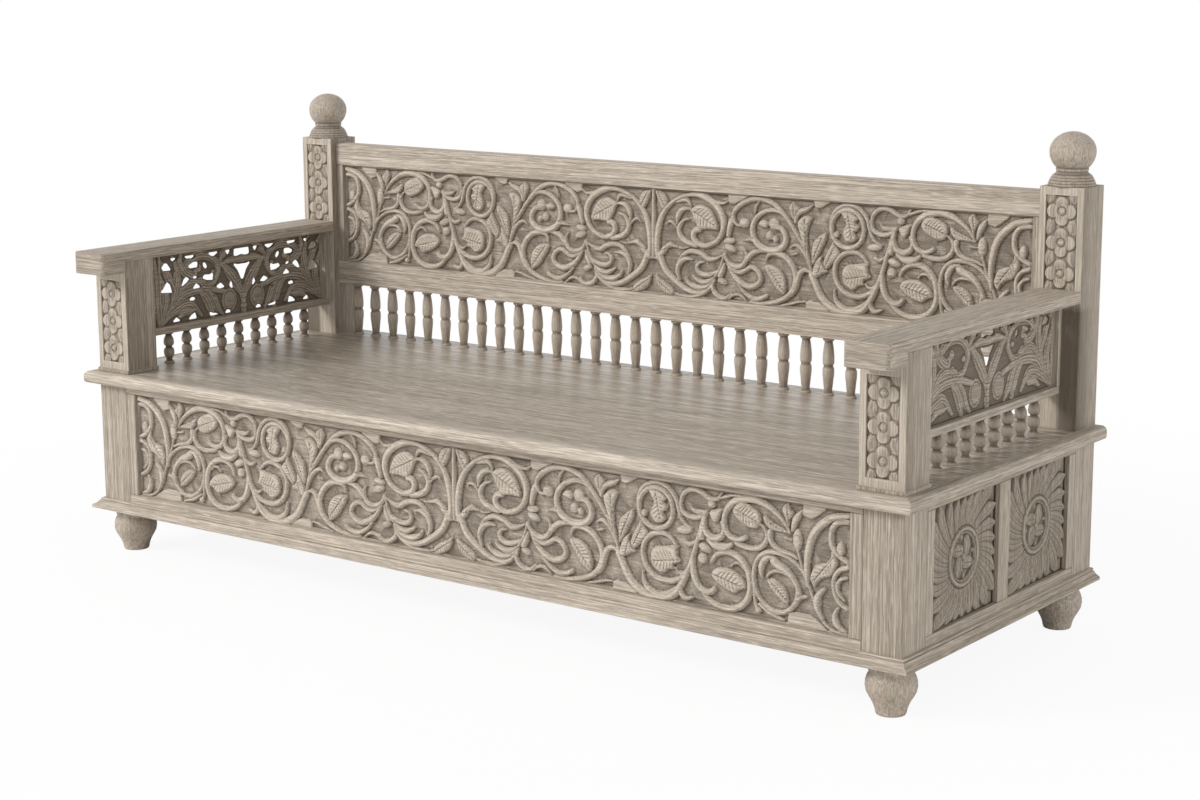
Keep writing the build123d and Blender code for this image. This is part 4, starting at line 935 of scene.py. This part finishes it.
# --- pierced arm panels --------------------------------------------------------------------------
# Two acacia boards 12 mm thick, held by tongues and carved 5 mm deep on both faces: leaves rise in
# a V from a ridged baluster between two round flowers, and scrolls arch away on either side. The
# left one is sawn right through in 42 openings, the right one in 13. Sizes are in mm.
middle_openings = [
    [(-24, 147), (24, 147), (25, 131), (12, 130), (0, 133), (-12, 130), (-25, 131)],
    [(-30, 115), (-14, 111), (14, 111), (30, 115), (14, 97), (4, 76), (-4, 76), (-14, 97)],
]
paired_openings = [
    [(34, 147), (55, 147), (42, 135)],
    [(68, 147), (108, 147), (97, 140), (86, 137)],
    [(140, 147), (182, 147), (168, 141), (150, 140)],
    [(197, 147), (221, 147), (209, 138)],
    [(214, 120), (240, 121), (246, 130), (236, 138), (226, 136)],
    [(134, 118), (160, 118), (167, 124), (152, 131), (136, 131)],
    [(106, 116), (112, 111), (120, 118), (121, 127), (112, 126)],
    [(88, 84), (110, 86), (124, 92), (118, 99), (100, 98), (90, 104)],
    [(134, 96), (146, 93), (158, 98), (146, 100)],
    [(160, 94), (172, 101), (180, 96), (190, 80), (178, 82), (168, 88)],
    [(212, 70), (251, 74), (240, 86), (228, 97), (218, 88)],
    [(126, 71), (157, 71), (142, 84)],
    [(53, 64), (72, 62), (84, 68), (68, 76)],
    [(28, 60), (36, 59), (42, 66), (38, 76), (32, 74)],
    [(142, 50), (152, 45), (169, 47), (158, 54)],
    [(86, 50), (100, 51), (92, 46)],
    [(190, 4), (220, 4), (205, 15)],
    [(143, 4), (172, 4), (160, 14), (148, 19)],
    [(76, 4), (104, 4), (107, 15), (92, 9), (80, 8)],
    [(37, 4), (60, 4), (52, 12), (42, 11)],
]
middle_stems = [
    ((7, 9, 6, 10, 8), [(0, 2), (0, 16), (0, 28), (0, 40), (0, 52)]),
    ((3, 7, 8, 7, 3), [(68, 118), (35, 124), (0, 124), (-35, 124), (-68, 118)]),
]
paired_stems = [
    ((7, 10, 10, 7, 3), [(7, 50), (22, 72), (42, 96), (57, 112), (68, 120)]),
    ((7, 8, 8, 7, 6, 5), [(184, 118), (151, 141), (113, 143), (84, 127), (76, 104), (90, 80)]),
    ((5, 7, 8), [(90, 80), (113, 72), (132, 84)]),
    ((4, 8, 8, 5), [(190, 136), (176, 112), (152, 100), (146, 108)]),
    ((5, 8, 9, 8, 6, 4), [(250, 5), (222, 35), (193, 60), (151, 69), (105, 66), (58, 54)]),
    ((4, 7, 7, 3), [(220, 39), (197, 68), (166, 88), (120, 84)]),
    ((4, 8, 8, 3), [(244, 8), (209, 30), (166, 40), (132, 10)]),
    ((3, 6, 6, 2), [(204, 10), (184, 22), (166, 22), (150, 26)]),
    ((4, 9, 9, 5), [(134, 64), (114, 46), (103, 23), (97, 3)]),
    ((3, 7, 7, 3), [(106, 60), (90, 40), (82, 22), (66, 3)]),
    ((4, 8, 9, 5, 2), [(221, 40), (207, 72), (200, 106), (206, 136), (216, 152)]),
    ((5, 8, 7, 3), [(212, 76), (226, 104), (232, 118), (252, 146)]),
    ((4, 8, 8, 4), [(250, 12), (240, 40), (236, 66), (252, 108)]),
    ((3, 7, 6, 3), [(70, 126), (60, 140), (46, 150), (30, 156)]),
    ((3, 6, 3), [(120, 146), (128, 152), (142, 156)]),
    ((4, 7, 6, 3), [(258, 4), (263, 50), (262, 100), (266, 150)]),
    ((2, 2), [(253, 2), (253, 158)]),
    ((3, 6, 3), [(184, 118), (192, 134), (188, 152)]),
]
arm_design_shift = 17.0
opening_floor = 109                   # the right panel has the openings over these heights
mirrored_floor = 130
mirrored_openings = [[(-u, v) for u, v in line] for line in paired_openings]
arm_openings = {
    "right": middle_openings
    + [line for line in paired_openings if min(v for u, v in line) > opening_floor]
    + [line for line in mirrored_openings if min(v for u, v in line) > mirrored_floor],
    "left": middle_openings + paired_openings + mirrored_openings,
}
baluster_stretch, stem_stretch = 1.15, 1.4
arm_ground = 0.22
flower_u, flower_v, flower_width, flower_height = 44, 33, 23, 27
balls = ((136, 116, 9), (93, 103, 6))         # along, up and radius
saw_reach = 6                         # how far from an opening its edge is rounded
arm_line, arm_middle = 0.945, 0.030   # metres, as the next values are
arm_panel_foot, arm_panel_height = 0.484, 0.160
arm_thickness, arm_relief = 0.012, 0.0052
stile_thickness = 0.034
stile_ends = ((-0.252, -0.2422), (0.3022, 0.312))


def arm_carving(cell, openings):
    """The carved arm design, and how far each grid point lies inside the wood, in mm."""
    carving = Carving(-272 - arm_design_shift, 272 - arm_design_shift, 0, 160, cell)
    x, z = np.meshgrid(carving.x, carving.z)
    carving.h += arm_ground
    carving.flute = 0.26
    rib_depth, side_depth = 0.50, 0.42
    for radii, points in middle_stems:
        carving.stem([baluster_stretch * r for r in radii], points, rise=0.95)
    for side in (1, -1):
        for radii, points in paired_stems:
            line = np.array([(side * u, v) for u, v in points], float)
            carving.stem([stem_stretch * r for r in radii], line, rise=0.95)
            if max(radii) > 6:
                carving.slit(1.5, line, rib_depth)
                run = np.gradient(line, axis=0)
                beside = np.stack([-run[:, 1], run[:, 0]], -1) / np.hypot(*run.T)[:, None]
                for hand in (-0.75, 0.75):
                    carving.slit(1.25, line + hand * max(radii) * beside, side_depth)
        middle = side * flower_u
        carving.bud((middle, flower_v), flower_height, flower_width, (0, 1), rise=0.9)
        ring = np.hypot((x - middle) / flower_width, (z - flower_v) / flower_height)
        carving.h -= 0.45 * np.exp(-((ring - 0.76) / 0.07) ** 2)
        beads = 0.5 + 0.5 * np.cos(x * 1.25) * np.cos(z * 1.25)
        carving.h -= 0.30 * beads * (ring < 0.66)
        for u, v, radius in balls:
            carving.bud((side * u, v), radius, radius, rise=0.9)
    for height in (10, 22, 34, 46):
        carving.slit(1.6, [(-9, height), (0, height - 1.5), (9, height)], rib_depth)
    farthest = 30.0
    wood = np.full(x.shape, farthest)
    for outline in openings:
        part, u, v = carving.window(np.min(outline, 0) - saw_reach, np.max(outline, 0) + saw_reach)
        nearest, inside = outline_distance(u, v, np.array(outline, float), farthest)
        wood[part] = np.minimum(wood[part], np.where(inside, -nearest, nearest))
    wood = blur(np.clip(wood, -saw_reach, saw_reach), 1.0)
    round_edge = np.clip(1 - np.clip(1 - wood / 3.0, 0, 1) ** 2, 0, 1) ** 0.5
    carving.h = np.clip(carving.h, 0.04, 1) * (0.25 + 0.75 * round_edge)
    return carving, wood


def pierced_board(name, paint, carving, wood, middle):
    """A closed board in the Y-Z plane with the same carving on both faces and real openings."""
    x, z = np.meshgrid(carving.x, carving.z)
    rise_z, rise_x = np.gradient(wood, carving.cell)
    steep = np.maximum(rise_x ** 2 + rise_z ** 2, 0.25)
    shift = np.where(wood < 0, np.clip(-wood, 0, 1.5 * carving.cell) / steep, 0)
    x, z = x + rise_x * shift, z + rise_z * shift
    out = arm_thickness / 2 - arm_relief * (1 - carving.h)
    quads = squares(np.arange(x.size).reshape(x.shape))
    quads = quads[(wood.ravel()[quads] > 0).any(axis=1)]
    start, end = quads.ravel(), np.roll(quads, -1, axis=1).ravel()
    border = ~np.isin(start * x.size + end, end * x.size + start)
    start, end = start[border], end[border]
    sides = [np.stack([middle[0] + way * out, middle[1] + mm * x, middle[2] + mm * z], -1)
             for way in (1, -1)]
    walls = np.stack([end, start, start + x.size, end + x.size], -1)
    faces = np.vstack([quads, quads[:, ::-1] + x.size, walls])
    used = np.unique(faces)
    place = np.zeros(2 * x.size, int)
    place[used] = np.arange(len(used))
    points = np.reshape(sides, (-1, 3))[used]
    mesh = mesh_of(name, points.tolist(), place[faces].tolist())
    # Stain and painted shade: brown in hollows, beside the openings and on the low ground.
    hollow = blur(carving.h, 4.0 / carving.cell) - carving.h
    corner = np.clip(3.6 * hollow + 0.25 * (wood < 2.0) + 0.75 * (carving.h < 0.24), 0, 1)
    lift = carving.wear_and_highlight(0.74, 0.6)
    mark_points(mesh, lift=np.tile(lift.ravel(), 2)[used], corner=np.tile(corner.ravel(), 2)[used])
    mesh.polygons.foreach_set("use_smooth", np.arange(len(faces)) < 2 * len(quads))
    return new_piece(name, mesh, paint)


pierced_wood = limed_wood("pierced_wood", "y", carved=1.0, shade=0.14)
for side, sign in (("right", 1), ("left", -1)):
    design, wood = arm_carving(1.35 if fine else 2.4, arm_openings[side])
    middle = (sign * arm_line, arm_middle + mm * arm_design_shift, arm_panel_foot)
    board = pierced_board("pierced_arm_" + side, pierced_wood, design, wood, middle)
    ride_root(board, "carved_wood", "arm_panel_" + side)
    stiles = [block("arm_stile", upright,
                    (sign * arm_line, (start + end) / 2, arm_panel_foot + arm_panel_height / 2),
                    (stile_thickness, end - start, arm_panel_height)) for start, end in stile_ends]
    ride_root(joined("arm_stiles_thin_" + side, stiles), "frame_wood", "arm_stiles_" + side)

# --- turned spindles -----------------------------------------------------------------------------
# Acacia spindles turned between centres: 33 under the backrest, 9 under each arm. Two bulbs meet
# at a waist, with a thin ring at each end. Round pins hold them in the seat and in the rail.
facets = 22                           # round a spindle


def turner(name, profile, hollows, paint):
    """A node tree that turns one spindle from a profile and sets a row of them. The profile and
    the painted shade in its hollows are shares, against the share of the height."""
    tree = bpy.data.node_groups.new(name, "GeometryNodeTree")
    tree.is_modifier = True
    for label, kind, value in (
            ("spindles", "Int", 9), ("first foot", "Vector", (0, 0, 0)), ("step", "Vector", (0.054, 0, 0)),
            ("height", "Float", 0.12), ("widest radius", "Float", 0.012), ("rings of points", "Int", 72)):
        socket = tree.interface.new_socket(label, in_out="INPUT", socket_type="NodeSocket" + kind)
        socket.default_value = value
    tree.interface.new_socket("Geometry", in_out="OUTPUT", socket_type="NodeSocketGeometry")
    size = add_node(tree, "NodeGroupInput").outputs

    def made_by(kind, output, sockets, **settings):
        return add_node(tree, "GeometryNode" + kind, sockets, **settings).outputs[output]

    def drawn_curve(points, share):
        drawn = add_node(tree, "ShaderNodeFloatCurve", {"Value": share})
        line = drawn.mapping.curves[0]
        line.points[0].location = points[0]
        line.points[1].location = points[-1]
        for at, value in points[1:-1]:
            line.points.new(at, value)
        drawn.mapping.update()
        return drawn.outputs["Value"]

    def marked(curve, layer, values):
        return made_by("StoreNamedAttribute", "Geometry", {"Geometry": curve, "Name": layer, "Value": values},
                       data_type="FLOAT", domain="POINT")

    tall = add_node(tree, "ShaderNodeCombineXYZ", {"Z": size["height"]}).outputs["Vector"]
    axis = made_by("CurvePrimitiveLine", "Curve", {"End": tall})
    axis = made_by("ResampleCurve", "Curve", {"Curve": axis, "Count": size["rings of points"]})
    share = made_by("SplineParameter", "Factor", {})
    radius_share = drawn_curve(profile, share)
    axis = marked(marked(axis, "corner", drawn_curve(hollows, share)), "lift", radius_share)
    section = made_by("CurvePrimitiveCircle", "Curve",
                      {"Radius": size["widest radius"], "Resolution": facets})
    turned = made_by("CurveToMesh", "Mesh", {"Curve": axis, "Profile Curve": section,
                                             "Scale": radius_share, "Fill Caps": True})
    row = made_by("MeshLine", "Mesh", {"Count": size["spindles"], "Offset": size["step"],
                                       "Start Location": size["first foot"]})
    placed = made_by("InstanceOnPoints", "Instances", {"Points": row, "Instance": turned})
    whole = made_by("RealizeInstances", "Geometry", {"Geometry": placed})
    rounded = made_by("SetShadeSmooth", "Geometry", {"Geometry": whole})
    painted = made_by("SetMaterial", "Geometry", {"Geometry": rounded, "Material": paint})
    add_node(tree, "NodeGroupOutput", {"Geometry": painted})
    return tree


def spindle_row(name, tree, replaced, **sizes):
    """A row made by a node tree, kept as plain mesh."""
    piece = new_piece(name, bpy.data.meshes.new(name))
    row = piece.modifiers.new("turned_row", "NODES")
    row.node_group = tree
    for socket in tree.interface.items_tree:
        label = socket.name.replace(" ", "_")
        if socket.in_out == "INPUT" and label in sizes:
            row[socket.identifier] = sizes[label]
    make_plain(piece)
    ride_root(piece, "turned_wood", replaced)


turned_wood = limed_wood("turned_wood", streak=0.6, carved=0.8, roughness=0.5, shade=0.12, mottle=0.45)
back_profile = [
    (0, 0.98), (0.036, 1.0), (0.05, 0.70), (0.08, 0.70), (0.16, 0.78), (0.25, 0.86), (0.40, 1.0),
    (0.465, 0.98), (0.505, 0.80), (0.55, 0.97), (0.617, 1.0), (0.75, 0.93), (0.88, 0.76),
    (0.935, 0.69), (0.95, 0.98), (1, 0.96),
]
# How dark the painted shade is in the hollows of a backrest spindle.
back_hollows = [
    (0, 0.2), (0.03, 0.0), (0.05, 0.8), (0.08, 0.2), (0.14, 0.0), (0.46, 0.0), (0.505, 0.6),
    (0.55, 0.0), (0.88, 0.05), (0.935, 0.7), (0.96, 0.1), (1, 0.4),
]
back_pitch, back_line = 0.054, 0.345
back_tree = turner("turned_backrest_spindle", back_profile, back_hollows, turned_wood)
spindle_row("backrest_spindles", back_tree, "back_spindles", spindles=33,
            first_foot=(-16 * back_pitch, back_line, seat_top), step=(back_pitch, 0, 0),
            height=0.120, widest_radius=0.0121)
arm_profile = [
    (0, 0.98), (0.05, 0.95), (0.09, 0.60), (0.15, 0.60), (0.25, 0.90), (0.36, 1.0), (0.47, 0.88),
    (0.53, 0.60), (0.59, 0.88), (0.68, 0.98), (0.78, 0.90), (0.89, 0.62), (0.925, 0.58),
    (0.945, 0.88), (1, 0.88),
]
# How dark the painted shade is in the hollows of an arm spindle.
arm_hollows = [
    (0, 0.3), (0.05, 0.0), (0.09, 0.85), (0.15, 0.3), (0.22, 0.0), (0.46, 0.1), (0.53, 0.8),
    (0.60, 0.1), (0.85, 0.1), (0.92, 0.9), (0.96, 0.2), (1, 0.5),
]
arm_pitch = 0.0534
# A darker copy of the turned wood: painted shade on the spindles under the arms.
arm_turned_wood = limed_wood("arm_turned_wood", streak=0.6, carved=1.0, roughness=0.5, shade=0.48,
                             mottle=0.75)
arm_tree = turner("turned_arm_spindle", arm_profile, arm_hollows, arm_turned_wood)
for side, sign in (("right", 1), ("left", -1)):
    spindle_row("arm_spindle_row_" + side, arm_tree, "arm_spindles_" + side, spindles=9,
                first_foot=(sign * arm_line, arm_middle - 4 * arm_pitch, seat_top),
                step=(0, arm_pitch, 0), height=0.069, widest_radius=0.0116)

# --- backrest panel ------------------------------------------------------------------------------
# One board of acacia with the same scrollwork as the front panel, drawn to its own size. It is
# tongued into the rails and stiles of the backrest, between the two back posts.
low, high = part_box("backrest_panel")
scroll_panel("backrest_carving", "backrest_panel", width=1776, height=226, foot=0.573,
             thickness=high[1] - low[1])

# --- studio --------------------------------------------------------------------------------------
# Not part of the daybed. The floor is a pale sheet just under the feet, wide enough to run out of
# the picture. It holds the shadow of the bench, and shows white far from it.
floor_half = 30.0
shadow_start, shadow_end = 1.1, 2.6   # the fade from shadow to plain white, from the middle
floor_paint = bpy.data.materials.new("studio_floor")
floor_paint.use_nodes = True
sheet = floor_paint.node_tree
sheet_shader = fill(sheet, sheet.nodes["Principled BSDF"],
                    {"Base Color": (0.93, 0.925, 0.92, 1), "Roughness": 0.9})
place = add_node(sheet, "ShaderNodeTexCoord")
distance = add_node(sheet, "ShaderNodeVectorMath", {0: place.outputs["Object"]}, operation="LENGTH")
fade = add_node(sheet, "ShaderNodeMapRange", {
    "Value": distance.outputs["Value"], "From Min": shadow_start, "From Max": shadow_end,
    "To Min": 0.92, "To Max": 1.0})
seen = add_node(sheet, "ShaderNodeLightPath").outputs["Is Camera Ray"]
share = add_node(sheet, "ShaderNodeMath", {0: seen, 1: fade.outputs["Result"]}, operation="MULTIPLY")
white = add_node(sheet, "ShaderNodeEmission", {"Strength": 1.0})
mixed = add_node(sheet, "ShaderNodeMixShader", {
    0: share.outputs["Value"], 1: sheet_shader.outputs["BSDF"], 2: white.outputs["Emission"]})
fill(sheet, sheet.nodes["Material Output"], {"Surface": mixed.outputs["Shader"]})
floor_corners = [(-floor_half, -floor_half, 0), (floor_half, -floor_half, 0),
                 (floor_half, floor_half, 0), (-floor_half, floor_half, 0)]
floor = new_piece("studio_floor", mesh_of("studio_floor", floor_corners, [(0, 1, 2, 3)]), floor_paint)

# Light of the studio: a broad soft box high on the left, a weak one on the right,
# and a pale room. The camera and the shine on the wood see the room as white, at strength 1.
world = bpy.data.worlds.new("studio_room")
bpy.context.scene.world = world
world.use_nodes = True
room = world.node_tree
room_light = fill(room, room.nodes["Background"], {"Color": (1, 1, 1, 1), "Strength": 0.51})
room_white = add_node(room, "ShaderNodeBackground", {"Color": (1, 1, 1, 1), "Strength": 1.0})
ray = add_node(room, "ShaderNodeLightPath").outputs
room_seen = add_node(room, "ShaderNodeMath", {0: ray["Is Camera Ray"], 1: ray["Is Glossy Ray"]},
                     operation="MAXIMUM")
room_mix = add_node(room, "ShaderNodeMixShader", {
    0: room_seen.outputs["Value"], 1: room_light.outputs["Background"],
    2: room_white.outputs["Background"]})
fill(room, room.nodes["World Output"], {"Surface": room_mix.outputs["Shader"]})


def place_in_scene(name, data, location, rotation):
    holder = bpy.data.objects.new(name, data)
    holder.location = location
    holder.rotation_euler = rotation
    bpy.context.scene.collection.objects.link(holder)
    return holder


def soft_box(name, place, aim, width, height, power):
    """A rectangular lamp that shines from its place towards an aim."""
    lamp = bpy.data.lights.new(name, "AREA")
    lamp.shape = "RECTANGLE"
    lamp.size = width
    lamp.size_y = height
    lamp.energy = power
    turn = (Vector(aim) - Vector(place)).to_track_quat("-Z", "Y").to_euler()
    place_in_scene(name, lamp, place, turn)


soft_box("soft_box_left", place=(-7.0, -9.4, 7.4), aim=(0, 0, 0.4), width=5.0, height=4.0, power=1290)
soft_box("soft_box_right", place=(5.5, 0.3, 0.9), aim=(0, 0, 0.5), width=2.0, height=0.8, power=62)

# Camera: it stands front right of the bench, a little above the back posts, and looks
# slightly down. No shift and no depth of field.
camera_place = (2.90087, -3.71127, 1.33098)
yaw = math.radians(36.96)
pitch = math.radians(-11.24)
roll = math.radians(-0.26)
forward = Vector((-math.sin(yaw) * math.cos(pitch), math.cos(yaw) * math.cos(pitch), math.sin(pitch)))
level = Vector((math.cos(yaw), math.sin(yaw), 0))
upward = level.cross(forward)
tilted_level = level * math.cos(roll) + upward * math.sin(roll)
tilted_up = upward * math.cos(roll) - level * math.sin(roll)
lens = bpy.data.cameras.new("camera")
lens.lens = 70.69
lens.sensor_width = 36.0
bpy.context.scene.camera = place_in_scene(
    "camera", lens, camera_place,
    Matrix((tilted_level, tilted_up, -forward)).transposed().to_euler())
bpy.context.scene.view_settings.view_transform = "Standard"
